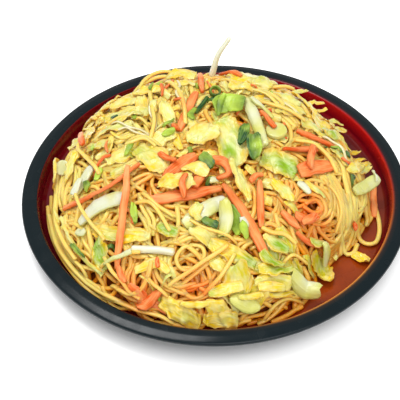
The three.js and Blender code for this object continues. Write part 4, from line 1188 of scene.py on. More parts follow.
# Cabbage that lies under the larger pieces.
LEAF_UNDER = [
    ([(-66, 46), (-57, 45), (-47, 42)], 9, 0.3, 0.0),
    ([(-76, 34), (-69, 34), (-60, 30)], 9, 0.35, 0.1),
    ([(-72, 15), (-61, 18), (-50, 18)], 7, 0.15, 0.0),
    ([(-65, -10), (-55, -6), (-45, -3)], 10, 0.1, 0.2),
    ([(-52, 22), (-44, 27), (-36, 31)], 9, 0.3, 0.0),
    ([(-40, -3), (-32, 4), (-23, 6)], 10, 0.05, 0.1),
    ([(-33, 34), (-29, 24), (-27, 13)], 9, 0.0, 0.0),
    ([(-47, 44), (-45, 35), (-44, 25)], 8, 0.7, 0.0),
    ([(-52, 49), (-42, 47), (-33, 44)], 6, 0.4, 0.0),
    ([(-24, 46), (-21, 37), (-19, 28)], 6, 0.1, 0.0), ([(-78, 8), (-71, 6), (-64, 2)], 8, 0.2, 0.1),
    ([(-86, -16), (-82, -22), (-80, -30)], 6, 0.1, 0.1),
    ([(-28, 50), (-20, 54), (-12, 53)], 7, 0.5, 0.0), ([(-10, 34), (-4, 36), (2, 40)], 7, 0.4, 0.0),
    ([(31, 48), (42, 47), (54, 42)], 7, 0.3, 0.1), ([(36, 27), (46, 30), (57, 27)], 8, 0.2, 0.1),
    ([(52, 22), (61, 24), (70, 18)], 8, 0.1, 0.2), ([(30, 4), (37, 8), (44, 5)], 9, 0.2, 0.2),
    ([(62, 34), (70, 30), (77, 22)], 7, 0.5, 0.2), ([(70, 8), (76, 4), (80, -4)], 7, 0.3, 0.2),
    ([(48, 52), (56, 50), (64, 44)], 6, 0.6, 0.1), ([(8, 48), (16, 46), (24, 46)], 7, 0.5, 0.0),
    ([(-62, -20), (-54, -18), (-46, -21)], 7, 0.3, 0.1),
    ([(40, -24), (46, -22), (52, -24)], 6, 0.3, 0.1),
    ([(-8, -8), (-1, -10), (4, -16)], 7, 0.6, 0.0),
    ([(-24, 22), (-17, 20), (-12, 12)], 7, 0.3, 0.0),
    ([(-90, 18), (-88, 26), (-84, 33)], 7, 0.3, 0.1),
    ([(-90, -4), (-88, 5), (-84, 12)], 6, 0.4, 0.1),
    ([(-70, 52), (-76, 44), (-82, 36)], 6, 0.5, 0.0),
    ([(-58, 60), (-64, 54), (-70, 48)], 6, 0.3, 0.0),
    ([(-14, -62), (-2, -67), (9, -71)], 8, 0.3, 0.2),
    ([(-3, -77), (4, -81), (12, -85)], 8, 0.5, 0.1),
    ([(6, -86), (17, -88), (27, -89)], 9, 0.9, 0.0),
    ([(27, -63), (31, -68), (35, -73)], 11, 0.9, 0.2),
    ([(37, -56), (41, -62), (44, -67)], 8, 0.9, 0.1),
    ([(17, -76), (24, -78), (32, -79)], 8, 0.9, 0.2),
    ([(43, -70), (47, -73), (51, -76)], 8, 1.0, 0.1),
    ([(29, -93), (38, -90), (48, -83)], 5, 0.7, 0.1),
    ([(-6, -98), (4, -101), (14, -101)], 6, 0.8, 0.0),
    ([(14, -99), (23, -97), (31, -93)], 6, 0.8, 0.0),
    ([(-33, -94), (-22, -98), (-10, -101)], 7, 0.9, 0.0),
    ([(53, -62), (56, -66), (58, -72)], 7, 0.8, 0.1),
    ([(-5, -27), (3, -26), (9, -29)], 6, 0.3, 0.0),
    ([(22, -11), (29, -11), (36, -15)], 7, 0.2, 0.1),
    ([(41, -39), (46, -42), (50, -46)], 5, 0.6, 0.1),
    ([(28, -25), (31, -28), (35, -32)], 6, 0.1, 0.0),
    ([(18, -15), (22, -20), (25, -26)], 5, 0.2, 0.1),
    ([(10, -11), (6, -16), (4, -22)], 6, 0.1, 0.0),
]
# Leaves that stick out of the heap at the back right, over the wall. Their paths are in space.
JUTTING = [
    ([(54, 60, 33), (63, 67, 32), (72, 72.5, 28)], 4, 1.0, 0.0),
    ([(57, 54, 34), (66, 61, 31), (73, 66, 27)], 4, 1.0, 0.0),
    ([(68, 54, 27), (77, 58, 24), (84, 58.6, 20)], 3.5, 0.3, 0.1),
    ([(72, 45, 29), (78, 49, 25), (84, 54, 20)], 9, 0.5, 0.1),
    ([(83, 30, 23), (88, 35, 18), (93, 40, 14)], 6, 0.8, 0.0),
    ([(84, 12, 26), (92, 19, 22), (99, 26, 18)], 6, 0.7, 0.0),
    ([(86, 22, 22), (91, 29, 17), (97, 33, 14)], 4, 0.8, 0.0),
    ([(46, 66, 38), (54, 74, 35), (61, 79, 32)], 5, 0.2, 0.1),
]
# Thin strands of sprout over the cabbage.
SPROUT_STRANDS = [
    [(-68, 24), (-61, 22), (-53, 16), (-46, 13), (-38, 6)],
    [(-60, 15), (-54, 15), (-47, 8), (-38, 4)], [(-40, 34), (-40, 26), (-36, 17), (-37, 9)],
    [(-25, 58), (-22, 49), (-24, 40), (-21, 33)], [(30, 41), (38, 37), (44, 37), (52, 31)],
    [(66, 19), (71, 15), (77, 11), (80, 3)],
]


def shred_density(x, y):
    """How likely a seeded shred is: more on the upper half, along the front edge and at the front
    right than on the noodles between, and hardly any on the crest at the back."""
    upper = 0.95 / (1 + np.exp(-(y - 5) / 12))
    front = 0.7 * np.exp(-(((x - 15) / 45) ** 2) - ((y + 82) / 14) ** 2)
    right = 0.35 * np.exp(-(((x - 35) / 16) ** 2) - ((y + 30) / 14) ** 2)
    crest = (y > 20) & (np.hypot(x, y) > 68)
    return np.where(crest, 0.04, 0.15 + (upper + front + right))


def seeded_shreds(random, count, lengths, widths, tones, greens=(0, 0)):
    """Paths, widths and tints of shreds strewn over the heap, each bent like part of a circle."""
    shreds = []
    while len(shreds) < count:
        x, y = random.uniform(-LOOSE_REACH, LOOSE_REACH, 2)
        inside = np.hypot(x, y) < 0.96 * heap_edge(np.arctan2(y, x))
        if not inside or random.uniform() > shred_density(x, y):
            continue
        length, heading = random.uniform(*lengths), random.uniform(0, np.pi)
        bend = random.uniform(-0.5, 0.5)
        forward = np.array([np.cos(heading), np.sin(heading)])
        side = np.array([-np.sin(heading), np.cos(heading)])
        first, last = (forward * length / 2 * way - side * bend * length / 2 for way in (-1, 1))
        path = [(x, y) + first, (x, y) + side * 0.1 * length * bend, (x, y) + last]
        width, tone = random.uniform(*widths), random.uniform(*tones)
        green = random.uniform(*greens) * (random.uniform() > 0.5)
        shreds.append((path, width, tone, green))
    return shreds


def scrap_surfaces(kind, scraps, roll=0.25, **options):
    """Small pieces let down onto the pile one after another, each becoming part of it."""
    surfaces = []
    pile = shared(marked_pile)
    random = np.random.default_rng(len(scraps))
    half = 8 if kind == "cabbage" else 5
    look = {**KINDS[kind], "rows": SCRAP_ROWS, "steps": 6, "half": half, **options}
    for seed, (path, width, tone, *green) in enumerate(scraps):
        plan = strip_plan(path, width, look["outline"], look["steps"], look["columns"])
        inside = kept_in(plan.reshape(-1, 2), 5.0).reshape(plan.shape)
        turn = random.uniform(-1, 1) * roll
        grid = laid_underside(pile, inside, look["thickness"], turn)
        surface = strip_surface(grid, look, 70 * seed + 5, tone, *green)
        pile.press(surface.points, 0.4)
        surfaces.append(surface)
    return surfaces


def jutting_surfaces(pieces):
    """Leaves that stick out: each is level across and follows its path in space from its buried
    inner end."""
    surfaces = []
    look = {**KINDS["cabbage"], "rows": SCRAP_ROWS, "half": 8}
    shares = np.linspace(0, 1, look["steps"] + 1)
    for seed, (path, width, tone, green) in enumerate(pieces):
        plan = strip_plan(path, width, look["outline"], look["steps"], look["columns"])
        height = at_shares(dense_curve(path), shares)[:, None, 2:] + 0 * plan[..., :1]
        grid = np.concatenate([plan, height], -1)
        surfaces.append(strip_surface(grid, look, 90 * seed + 17, tone, green))
    return surfaces


# The last carrot colour, the first leaf colour and the last rib colour are painted shade at a
# piece's sides, underside and depth in the heap; the leaf's also yellows its thin sides.
DEEP_CARROT, CARROT_STREAK, CARROT_EDGE_SHADE = srgb(228, 98, 26), srgb(252, 184, 120), srgb(222, 84, 12)
LEAF_EDGE_AND_SHADE, LEAF_VEIN = srgb(250, 186, 14), srgb(242, 240, 196)
DEEP_RIB, RIB_EDGE_SHADE = srgb(214, 212, 106), srgb(206, 208, 110)
GREEN_STREAK = srgb(160, 204, 76)
DEEP_SPROUT, SPROUT_STREAK = srgb(226, 208, 130), srgb(250, 250, 240)


def carrot_material(settings):
    """Cooked carrot: salmon to orange along its tone, with fine fibres along the strip."""
    finish = Finish("carrot_flesh")
    colors, tone = (settings.carrot_color, DEEP_CARROT), finish.attribute("tone")
    base = finish.mottle(*colors, mix=tone, amount=0.6, scale=120.0)
    streaked = finish.tint(finish.fibres(9.0, 3.0), base, 0.55, CARROT_STREAK)
    # Darker at the sides, the underside and deep in the heap: painted shade.
    finish.set(Base_Color=finish.tint(finish.attribute("edge"), streaked, 0.5, CARROT_EDGE_SHADE))
    finish.moist(scale=900.0, dry=0.6, wet=0.35, strength=0.25, distance=0.0004)
    finish.flesh(0.1, 0.002, (1.0, 0.35, 0.1))
    finish.set(Coat_Weight=0.08, Coat_Roughness=0.15, Specular_IOR_Level=0.2)
    return finish.material


def leaf_material(settings):
    """Cooked leaf: pale to yellow along its tone, greener where its green is high, with branching
    veins."""
    finish = Finish("leaf_flesh")
    colors, tone = (settings.leaf_color, settings.yellow_color), finish.attribute("tone")
    base = finish.mottle(*colors, mix=tone, amount=0.75, scale=130.0)
    cloud = finish.mottle(BLACK, WHITE, mix=finish.attribute("green"), amount=0.25, scale=80.0)
    greened = finish.blend(cloud, base, settings.lime_color)
    # Golden at the sides, the underside and deep in the heap: painted shade, and yellower thin
    # sides.
    edged = finish.tint(finish.attribute("edge"), greened, 0.7, LEAF_EDGE_AND_SHADE)
    veins = finish.fibres(7.0, 4.0)
    finish.set(Base_Color=finish.tint(veins, edged, 0.3, LEAF_VEIN))
    skin = finish.moist(scale=300.0, dry=0.4, wet=0.16, strength=0.5, distance=0.0009)
    finish.ridges(veins, skin, 0.4)
    finish.flesh(0.15, 0.002, (0.9, 0.7, 0.25))
    finish.set(Coat_Weight=0.3, Coat_Roughness=0.14, Specular_IOR_Level=0.3)
    return finish.material


def rib_material(settings):
    """White rib or onion: nearly white to pale green along its tone, with ridges along the
    piece."""
    finish = Finish("rib_flesh")
    colors, tone = (settings.rib_color, DEEP_RIB), finish.attribute("tone")
    base = finish.mottle(*colors, mix=tone, amount=0.4, scale=80.0)
    lines = finish.fibres(8.0, 1.0)
    # Darker and yellower at the sides, the underside and deep in the heap: painted shade.
    edged = finish.blend(finish.attribute("edge"), base, RIB_EDGE_SHADE)
    finish.set(Base_Color=finish.blend(lines, edged, base))
    skin = finish.moist(scale=500.0, dry=0.4, wet=0.18, strength=0.15, distance=0.0003)
    finish.ridges(lines, skin, 0.35)
    finish.flesh(0.25, 0.003, (0.9, 0.9, 0.6))
    finish.set(Coat_Weight=0.35, Coat_Roughness=0.12)
    return finish.material


def green_material(settings):
    """Green onion leaf: lime to dark green along its tone, in lengthwise streaks."""
    finish = Finish("onion_green")
    colors, tone = (settings.light_green, settings.dark_green), finish.attribute("tone")
    base = finish.mottle(*colors, mix=tone, amount=0.6, scale=90.0)
    streaks = finish.fibres(10.0, 1.0)
    finish.set(Base_Color=finish.tint(streaks, base, 0.3, GREEN_STREAK))
    skin = finish.moist(scale=600.0, dry=0.42, wet=0.18, strength=0.15, distance=0.0003)
    finish.ridges(streaks, skin, 0.3, distance=0.0004)
    finish.set(Coat_Weight=0.15, Coat_Roughness=0.2, Specular_IOR_Level=0.3)
    return finish.material


def sprout_material(settings):
    """Bean sprout: nearly white to straw yellow along its tone, translucent."""
    finish = Finish("sprout_flesh")
    colors, tone = (settings.sprout_color, DEEP_SPROUT), finish.attribute("tone")
    base = finish.mottle(*colors, mix=tone, amount=0.3, scale=70.0)
    finish.set(Base_Color=finish.tint(finish.fibres(6.0, 1.0), base, 0.5, SPROUT_STREAK))
    finish.moist(scale=500.0, dry=0.4, wet=0.2, strength=0.1, distance=0.0003)
    finish.flesh(0.25, 0.003, (0.9, 0.85, 0.6))
    finish.set(Coat_Weight=0.3, Coat_Roughness=0.15)
    return finish.material


# ---- Settings ------------------------------------------------------------------------------------


def color_setting(name, description, default):
    """A colour that a user may change."""
    kind = {"subtype": "COLOR", "size": 4, "min": 0, "max": 1}
    return FloatVectorProperty(name=name, description=description, default=default, **kind)


def length_setting(name, description, default):
    """A length that a user may change, in metres."""
    kind = {"unit": "LENGTH", "subtype": "DISTANCE", "min": 0}
    return FloatProperty(name=name, description=description, default=default, **kind)


def count_setting(name, description, default, least=0):
    """A whole number that a user may change."""
    return IntProperty(name=name, description=description, default=default, min=least)


class PlateSettings(bpy.types.PropertyGroup):
    rim_color: color_setting("Rim", "Lacquer on the rim and underside", srgb(19, 28, 31))
    wall_color: color_setting("Wall", "Lacquer on the inner wall", srgb(130, 3, 20))
    # The floor's colour stands for a film of sauce and a painted reflection of the food.
    floor_color: color_setting("Floor", "Floor under its film of sauce", srgb(168, 72, 10))
    turn_steps: count_setting("Turn steps", "Points round the plate", 180, least=24)


class NoodleSettings(bpy.types.PropertyGroup):
    radius: length_setting("Radius", "Half the thickness of a noodle", 0.0013)
    step: length_setting("Step", "Distance between the rings of a noodle", 0.0017)
    under_count: count_setting("Lower noodles", "Loose noodles in the lowest layer", 140)
    middle_count: count_setting("Middle noodles", "Loose noodles in the middle layer", 150)
    upper_count: count_setting("Upper noodles", "Loose noodles that show between the others", 90)
    seed: count_setting("Seed", "Start of the random numbers for loose noodles", 5)
    pale_color: color_setting("Pale", "Palest noodle", srgb(239, 212, 112))
    golden_color: color_setting("Golden", "Most golden noodle", srgb(236, 150, 8))
    stained_color: color_setting("Stained", "Noodle stained by the sauce", srgb(240, 104, 6))
    depth_color: color_setting("Depth", "Brown depth between the noodles", srgb(190, 88, 6))


class ToppingSettings(bpy.types.PropertyGroup):
    carrot_color: color_setting("Carrot", "Palest carrot", srgb(248, 154, 84))
    seed: count_setting("Seed", "Start of the random numbers for shreds", 3)
    leaf_shreds: count_setting("Cabbage shreds", "Loose shreds of cabbage", 44)
    carrot_shreds: count_setting("Carrot shreds", "Loose shreds of carrot", 16)
    green_shreds: count_setting("Onion shreds", "Loose shreds of green onion", 20)
    leaf_color: color_setting("Leaf", "Palest leaf", srgb(230, 227, 130))
    yellow_color: color_setting("Yellow leaf", "Strongest yellow of a leaf", srgb(250, 212, 22))
    lime_color: color_setting("Green leaf", "Greenest part of a leaf", srgb(140, 180, 24))
    rib_color: color_setting("Rib", "Whitest rib", srgb(224, 227, 200))
    light_green: color_setting("Light green", "Lightest green onion", srgb(188, 214, 70))
    dark_green: color_setting("Dark green", "Darkest green onion", srgb(14, 66, 34))
    sprout_color: color_setting("Sprout", "Bean sprout", srgb(222, 224, 196))


class StageSettings(bpy.types.PropertyGroup):
    floor_color: color_setting("Floor", "Plain floor under the plate", (0.97, 0.97, 0.97, 1.0))
    distance: length_setting("Camera distance", "From the camera to the middle of the plate", 0.75)
    sky: FloatProperty(name="Sky", description="Even light from all round", default=0.44, min=0)
    key: FloatProperty(name="Key", description="Main light", default=5.2, min=0, unit="POWER")
    fill: FloatProperty(name="Fill", description="Front light", default=5.2, min=0, unit="POWER")


# ---- Operators -----------------------------------------------------------------------------------

LIP_RADIUS = 109.7  # of the edge where the wall turns into the rim
# Stretches of the plate: the bearing of the middle, and the spread, in degrees.
# The lip's painted orange and red highlights, where the floor shows, and where painted shade lies.
LIP_HIGHLIGHT_SPAN, RED_LIP_HIGHLIGHT_SPAN, FLOOR_SHOWS = (-48, 30), (25, 45), (-40, 50)
LEFT_SHADE, BACK_SHADE, WALL_SHADE = (-145, 45), (35, 48), (-5, 28)
# Layers of loose noodles: name, how far over the heap's surface, length, and tone.
# A lower layer has a more golden tone: painted shade deeper in the heap.
LAYERS = [("lower", -3.6, 150, 0.35), ("middle", -1.3, 140, 0.2), ("upper", 0.6, 80, 0.1)]
# The tall sprout's middle line, before it is lifted to its solid's height.
SPROUT_LINE = [(-2, 71, 0), (-1, 71.5, 9), (2, 74, 19), (9, 78, 29)]
SPROUT_RADIUS = 1.9


def marked_pile():
    """The pile, with the solid toppings marked."""
    pile = Pile(core_height)
    pile.add_toppings(sorted(set(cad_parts) - {"plate", "noodles"}))
    return pile


def plate_surface(steps):
    """The turned plate. Its attributes say where it is lined, where the floor shows with its sauce
    and painted reflection, where the lip has its painted orange and red highlights, and where
    painted shade lies."""
    profile = rounded_profile(PLATE_PROFILE, 0.9)
    rings = turned(profile, steps)
    r, z = profile.T
    upper = np.arange(len(r)) > np.argmax(r)
    angle = np.arctan2(rings[..., 1], rings[..., 0])
    inside = (upper & (r < LIP_RADIUS + 0.4)).astype(float)[:, None] + 0 * angle
    # The lip's edge, which carries the painted highlights.
    edge = upper * np.exp(-(((r - LIP_RADIUS) / 1.1) ** 2)) * np.clip((z - 13) / 4, 0, 1)
    lip = edge[:, None] * bearing_bump(angle, *LIP_HIGHLIGHT_SPAN)
    flush = edge[:, None] * bearing_bump(angle, *RED_LIP_HIGHLIGHT_SPAN)
    # Where the floor shows: its brown is a film of sauce and a painted reflection of the food.
    low = np.clip((107.5 - r) / 2, 0, 1)[:, None]
    floor = inside * low * (0.05 + 0.95 * bearing_bump(angle, *FLOOR_SHOWS))
    # Painted shade at the front left, on the floor at the back right and on the wall at the right.
    gloom = 0.85 * bearing_bump(angle, *LEFT_SHADE) + 0.6 * low * bearing_bump(angle, *BACK_SHADE)
    gloom = inside * (gloom + 0.6 * (1 - low) * bearing_bump(angle, *WALL_SHADE))
    return Surface(rings, inside=inside, lip=lip, flush=flush, floor=floor, gloom=gloom)


def core_surface():
    """The core: its upper side, and a flat underside just over the floor."""
    t = np.concatenate([[0.0], np.linspace(0.03, 0.9, 34), np.linspace(0.92, CORE_SHARE, 12)])
    angle = np.linspace(0, 2 * np.pi, 120, endpoint=False)[None, :]
    radius = t[:, None] * heap_edge(angle)
    x, y = radius * np.cos(angle), radius * np.sin(angle)
    upper = np.stack([x, y, np.maximum(core_height(x, y), FLOOR_HEIGHT + 0.4)], -1)
    under = np.stack([x, y, np.full(x.shape, FLOOR_HEIGHT + 0.2)], -1)[::-1]
    return Surface(np.concatenate([upper, under]))


def loose_noodles(random, settings, count, allow, length, tone):
    """Noodles strewn over the heap in one layer."""
    radius, step = settings.radius / MM, settings.step / MM
    surfaces = []
    for _ in range(count):
        way = wandering(random, random.uniform(0.6, 1.0) * length, step)
        plan = kept_in(way, random.uniform(-2, 3))
        line = lay_noodle(shared(marked_pile), plan, radius, allow, dive=1.5)
        surfaces.append(noodle_surface(line, random, radius, tone + random.uniform(0, 0.45)))
    return surfaces


def placed_noodles(random, settings, bundles, allow, tones, thickness=None):
    """Noodles laid along given paths, each with its own tone and, where a range is given, its own
    thickness."""
    radius, step = settings.radius / MM, settings.step / MM
    surfaces = []
    for copies, points in bundles:
        for plan in side_by_side(copies, points, step, random):
            line = lay_noodle(shared(marked_pile), plan, radius, allow, dive=1.6)
            thick = radius * random.uniform(*thickness) if thickness else radius
            surfaces.append(noodle_surface(line, random, thick, random.uniform(*tones)))
    return surfaces


def sprout_strands():
    """Thin strands let down onto the toppings."""
    strands = []
    for path in SPROUT_STRANDS:
        plan = at_shares(dense_curve(path), np.linspace(0, 1, 24))
        line = lay_noodle(shared(marked_pile), plan, 0.8, 6.0, dive=2.0)
        strands.append(Surface(tube_rings(line, 0.85, 0.6, 8), tone=0.8))
    return strands


def tall_sprout():
    """The sprout that stands out of the heap: a tube that tapers upwards, as high as its solid."""
    low, high = (np.array(corner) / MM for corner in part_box("sprout_tall"))
    points = np.array(SPROUT_LINE, float)
    points[:, 2] += high[2] - 1.0 - points[-1, 2]
    points[0, 2] = max(points[0, 2], low[2])
    line = at_shares(dense_curve(points), np.linspace(0, 1, 34))
    rings = tube_rings(line, SPROUT_RADIUS, SPROUT_RADIUS, 14)
    taper = np.linspace(1.15, 0.75, len(rings))[:, None, None]
    middle = rings.mean(1, keepdims=True)
    return Surface(middle + (rings - middle) * taper, tone=0.0)


# The stage, in metres: where the floor's glow starts and is full, the lens in mm and its shift, the
# camera's angle down in degrees and the height it looks at, and the lamps' places and widths.
GLOW_SPAN, GLOW, FLOOR_REACH, FLOOR_SHADE = (0.106, 0.129), 0.6, 3, (0.95, 0.95, 0.95, 1.0)
SENSOR, LENS, LENS_SHIFT = 36, 108.6, (-0.0378, -0.0303)
LOOKS_DOWN, LOOKS_AT = 45.8, 0.022
LAMPS = {"key": ((-0.25, 0.1, 0.95), 0.45), "fill": ((0.25, -0.6, 0.8), 0.8)}


def lay_floor(settings):
    """The plain floor. It glows a little, except near the plate, so that its shade stays short."""
    finish = Finish("plain_floor")
    pale = finish.mottle(settings.floor_color, FLOOR_SHADE, mix=0.2, amount=0.1, scale=3.0)
    away = add_node(finish.tree, "ShaderNodeVectorMath", {"operation": "LENGTH"})
    plug(finish.tree, away.inputs[0], finish.place)
    glow = ramp(finish.tree, away.outputs["Value"], GLOW_SPAN, (0.0, GLOW), smooth=True)
    finish.set(Base_Color=pale, Emission_Color=glow, Roughness=0.9, Emission_Strength=1.0)
    mesh = bpy.data.meshes.new("floor")
    ways = ((-1, -1), (1, -1), (1, 1), (-1, 1))
    corners = [(x * FLOOR_REACH, y * FLOOR_REACH, 0) for x, y in ways]
    mesh.from_pydata(corners, [], [(0, 1, 2, 3)])
    mesh.materials.append(finish.material)
    floor = bpy.data.objects.new("floor", mesh)
    bpy.context.scene.collection.objects.link(floor)


def light_stage(settings):
    """Even light from all round, and two round lamps that face the food."""
    world = bpy.data.worlds.new("sky")
    bpy.context.scene.world = world
    world.use_nodes = True
    background = world.node_tree.nodes["Background"]
    background.inputs["Color"].default_value = WHITE
    background.inputs["Strength"].default_value = settings.sky
    for name, (place, size) in LAMPS.items():
        light = bpy.data.lights.new(name, "AREA")
        light.shape, light.size, light.energy = "DISK", size, getattr(settings, name)
        lamp = bpy.data.objects.new(name, light)
        lamp.location = place
        towards = Vector((0, 0, 0.03)) - lamp.location
        lamp.rotation_euler = towards.to_track_quat("-Z", "Y").to_euler()
        bpy.context.scene.collection.objects.link(lamp)


def set_camera(settings):
    """The camera, on the plate's side nearest the viewer, looking down at the food."""
    scene = bpy.context.scene
    lens = bpy.data.cameras.new("camera")
    lens.sensor_width, lens.lens, lens.clip_start = SENSOR, LENS, 0.05
    lens.shift_x, lens.shift_y = LENS_SHIFT
    camera = bpy.data.objects.new("camera", lens)
    down = np.radians(LOOKS_DOWN)
    away, up = settings.distance * np.cos(down), settings.distance * np.sin(down)
    camera.location = (0, -away, LOOKS_AT + up)
    camera.rotation_euler = (np.pi / 2 - down, 0, 0)
    scene.collection.objects.link(camera)
    scene.camera = camera
    scene.view_settings.view_transform = "Standard"


class YAKISOBA_OT_plate(bpy.types.Operator):
    """Turns the lacquered plate"""

    bl_idname = "yakisoba.plate"
    bl_label = "Plate"

    def execute(self, context):
        settings = context.scene.yakisoba_plate
        surface = plate_surface(settings.turn_steps)
        make_piece("plate_turned", [surface], lacquer_material(settings), ["plate"])
        return {"FINISHED"}


class YAKISOBA_OT_core(bpy.types.Operator):
    """Makes the dark core under the noodles"""

    bl_idname = "yakisoba.core"
    bl_label = "Core"

    def execute(self, context):
        material = core_material(context.scene.yakisoba_noodles)
        make_piece("noodle_core", [core_surface()], material, ["noodles"])
        return {"FINISHED"}


class YAKISOBA_OT_noodles(bpy.types.Operator):
    """Lays the noodles in layers, loose ones first and those along given paths last"""

    bl_idname = "yakisoba.noodles"
    bl_label = "Noodles"

    def execute(self, context):
        settings = context.scene.yakisoba_noodles
        random = np.random.default_rng(settings.seed)
        material = shared(noodle_material, settings)
        counts = (settings.under_count, settings.middle_count, settings.upper_count)
        for count, (layer, *heights) in zip(counts, LAYERS):
            surfaces = loose_noodles(random, settings, count, *heights)
            make_piece(f"noodles_{layer}", surfaces, material)
        surfaces = placed_noodles(random, settings, HAND_LAID + LIFTED, 1.8, tones=(-0.1, 0.35))
        make_piece("noodles_placed", surfaces, material)
        return {"FINISHED"}


class YAKISOBA_OT_shreds(bpy.types.Operator):
    """Strews shreds of cabbage, carrot and green onion over the noodles, under the larger pieces"""

    bl_idname = "yakisoba.shreds"
    bl_label = "Shreds"

    def execute(self, context):
        settings = context.scene.yakisoba_toppings
        random = np.random.default_rng(settings.seed)
        sizes = {"lengths": (7, 24), "widths": (1.6, 5.5), "tones": (0, 0.8), "greens": (0, 0.15)}
        shreds = seeded_shreds(random, settings.leaf_shreds, **sizes)
        look = {"thickness": 0.8, "roll": 0.9, "crumple": 0.5, "ruffle": 7.0}
        surfaces = scrap_surfaces("cabbage", shreds, **look)
        surfaces += scrap_surfaces("cabbage", LEAF_UNDER, thickness=0.9, roll=0.35, ragged=0.2)
        make_piece("cabbage_shreds", surfaces, shared(leaf_material, settings))
        sizes = {"lengths": (6, 16), "widths": (1.3, 2.3), "tones": (0.2, 1)}
        shreds = CARROT_UNDER + seeded_shreds(random, settings.carrot_shreds, **sizes)
        surfaces = scrap_surfaces("carrot", shreds, thickness=1.4, roll=0.5)
        make_piece("carrot_shreds", surfaces, shared(carrot_material, settings))
        sizes = {"lengths": (3, 9), "widths": (2, 4), "tones": (0, 1)}
        shreds = seeded_shreds(random, settings.green_shreds, **sizes)
        surfaces = scrap_surfaces("scallion", shreds, thickness=1.0, roll=0.5)
        make_piece("green_shreds", surfaces, shared(green_material, settings))
        shared(marked_pile).close_over()
        return {"FINISHED"}


class YAKISOBA_OT_carrots(bpy.types.Operator):
    """Lays the carrot strips and their scraps"""

    bl_idname = "yakisoba.carrots"
    bl_label = "Carrot"

    def execute(self, context):
        material = shared(carrot_material, context.scene.yakisoba_toppings)
        lay_kind("carrot", CARROTS, material)
        scraps = scrap_surfaces("carrot", CARROT_SCRAPS, thickness=1.8)
        make_piece("carrot_scraps", scraps, material)
        return {"FINISHED"}


class YAKISOBA_OT_cabbage(bpy.types.Operator):
    """Lays the cabbage leaves and their scraps"""

    bl_idname = "yakisoba.cabbage"
    bl_label = "Cabbage"

    def execute(self, context):
        material = shared(leaf_material, context.scene.yakisoba_toppings)
        lay_kind("cabbage", LEAVES, material)
        make_piece("cabbage_scraps", scrap_surfaces("cabbage", LEAF_SCRAPS), material)
        make_piece("cabbage_jutting", jutting_surfaces(JUTTING), material)
        return {"FINISHED"}


class YAKISOBA_OT_ribs(bpy.types.Operator):
    """Lays the white ribs and onion, and their scraps"""

    bl_idname = "yakisoba.ribs"
    bl_label = "Ribs"

    def execute(self, context):
        material = rib_material(context.scene.yakisoba_toppings)
        lay_kind("rib", RIBS, material)
        for node in ("rib_round_pale", "rib_left_disc"):
            make_piece(f"{node}_cut", [slice_surface(node, *SLICES[node])], material, [node])
        scraps = scrap_surfaces("rib", WHITE_SCRAPS, thickness=2.2)
        make_piece("white_scraps", scraps, material)
        return {"FINISHED"}


class YAKISOBA_OT_greens(bpy.types.Operator):
    """Lays the green onion"""

    bl_idname = "yakisoba.greens"
    bl_label = "Green onion"

    def execute(self, context):
        material = shared(green_material, context.scene.yakisoba_toppings)
        lay_kind("scallion", GREENS, material)
        ring = slice_surface("scallion_ring", *SLICES["scallion_ring"])
        make_piece("scallion_ring_cut", [ring], material, ["scallion_ring"])
        line = stick_line("scallion_stick", [(-5, 39), (-8, 32), (-12, 25)], 1.4)
        stick = Surface(tube_rings(line, 1.4, 1.3, 12), tone=0.9, green=0.0, edge=0.0)
        make_piece("scallion_stick_cut", [stick], material, ["scallion_stick"])
        scraps = scrap_surfaces("scallion", GREEN_SCRAPS, thickness=1.2)
        make_piece("green_scraps", scraps, material)
        return {"FINISHED"}


class YAKISOBA_OT_sprouts(bpy.types.Operator):
    """Lays the bean sprouts"""

    bl_idname = "yakisoba.sprouts"
    bl_label = "Sprouts"

    def execute(self, context):
        material = sprout_material(context.scene.yakisoba_toppings)
        line = stick_line("sprout_bar", [(-47, -67), (-36, -69), (-24, -72)], 2.4)
        bar = Surface(tube_rings(line, 2.4, 2.2, 14), tone=0.3)
        make_piece("sprout_bar_grown", [bar], material, ["sprout_bar"])
        make_piece("sprout_strands", sprout_strands(), material)
        make_piece("sprout_tall_grown", [tall_sprout()], material, ["sprout_tall"])
        return {"FINISHED"}


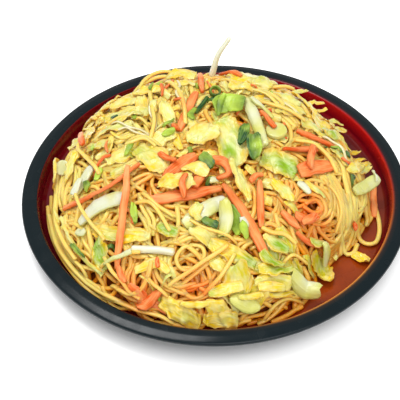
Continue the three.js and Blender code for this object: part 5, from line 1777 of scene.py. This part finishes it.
class YAKISOBA_OT_last_noodles(bpy.types.Operator):
    """Lays the few noodles that cross over the toppings"""

    bl_idname = "yakisoba.last_noodles"
    bl_label = "Last noodles"

    def execute(self, context):
        settings = context.scene.yakisoba_noodles
        random = np.random.default_rng(settings.seed + 1)
        ranges = {"tones": (-0.1, 0.2), "thickness": (0.75, 1.0)}
        surfaces = placed_noodles(random, settings, ON_TOP, 6.0, **ranges)
        make_piece("noodles_last", surfaces, shared(noodle_material, settings))
        return {"FINISHED"}


class YAKISOBA_OT_stage(bpy.types.Operator):
    """Sets the floor, the lights and the camera"""

    bl_idname = "yakisoba.stage"
    bl_label = "Stage"

    def execute(self, context):
        settings = context.scene.yakisoba_stage
        lay_floor(settings)
        light_stage(settings)
        set_camera(settings)
        return {"FINISHED"}


ORDER = [
    YAKISOBA_OT_plate,
    YAKISOBA_OT_core,
    YAKISOBA_OT_noodles,
    YAKISOBA_OT_shreds,
    YAKISOBA_OT_cabbage,
    YAKISOBA_OT_ribs,
    YAKISOBA_OT_carrots,
    YAKISOBA_OT_greens,
    YAKISOBA_OT_sprouts,
    YAKISOBA_OT_last_noodles,
    YAKISOBA_OT_stage,
]


class YAKISOBA_PT_panel(bpy.types.Panel):
    """Lists the settings and the steps"""

    bl_idname = "YAKISOBA_PT_panel"
    bl_label = "Yakisoba"
    bl_space_type = "VIEW_3D"
    bl_region_type = "UI"
    bl_category = "Yakisoba"

    def draw(self, context):
        for name in GROUPS_OF_SETTINGS:
            settings = getattr(context.scene, name)
            box = self.layout.box()
            for key in settings.__annotations__:
                box.prop(settings, key)
        for step in ORDER:
            self.layout.operator(step.bl_idname)


GROUPS_OF_SETTINGS = {
    "yakisoba_plate": PlateSettings,
    "yakisoba_noodles": NoodleSettings,
    "yakisoba_toppings": ToppingSettings,
    "yakisoba_stage": StageSettings,
}
CLASSES = [*GROUPS_OF_SETTINGS.values(), *ORDER, YAKISOBA_PT_panel]


def register():
    for made in CLASSES:
        bpy.utils.register_class(made)
    for name, group in GROUPS_OF_SETTINGS.items():
        setattr(bpy.types.Scene, name, PointerProperty(type=group))


def unregister():
    for name in GROUPS_OF_SETTINGS:
        delattr(bpy.types.Scene, name)
    for made in reversed(CLASSES):
        bpy.utils.unregister_class(made)


def main():
    register()
    for step in ORDER:
        group, name = step.bl_idname.split(".")
        getattr(getattr(bpy.ops, group), name)()


if __name__ == "__main__":
    main()
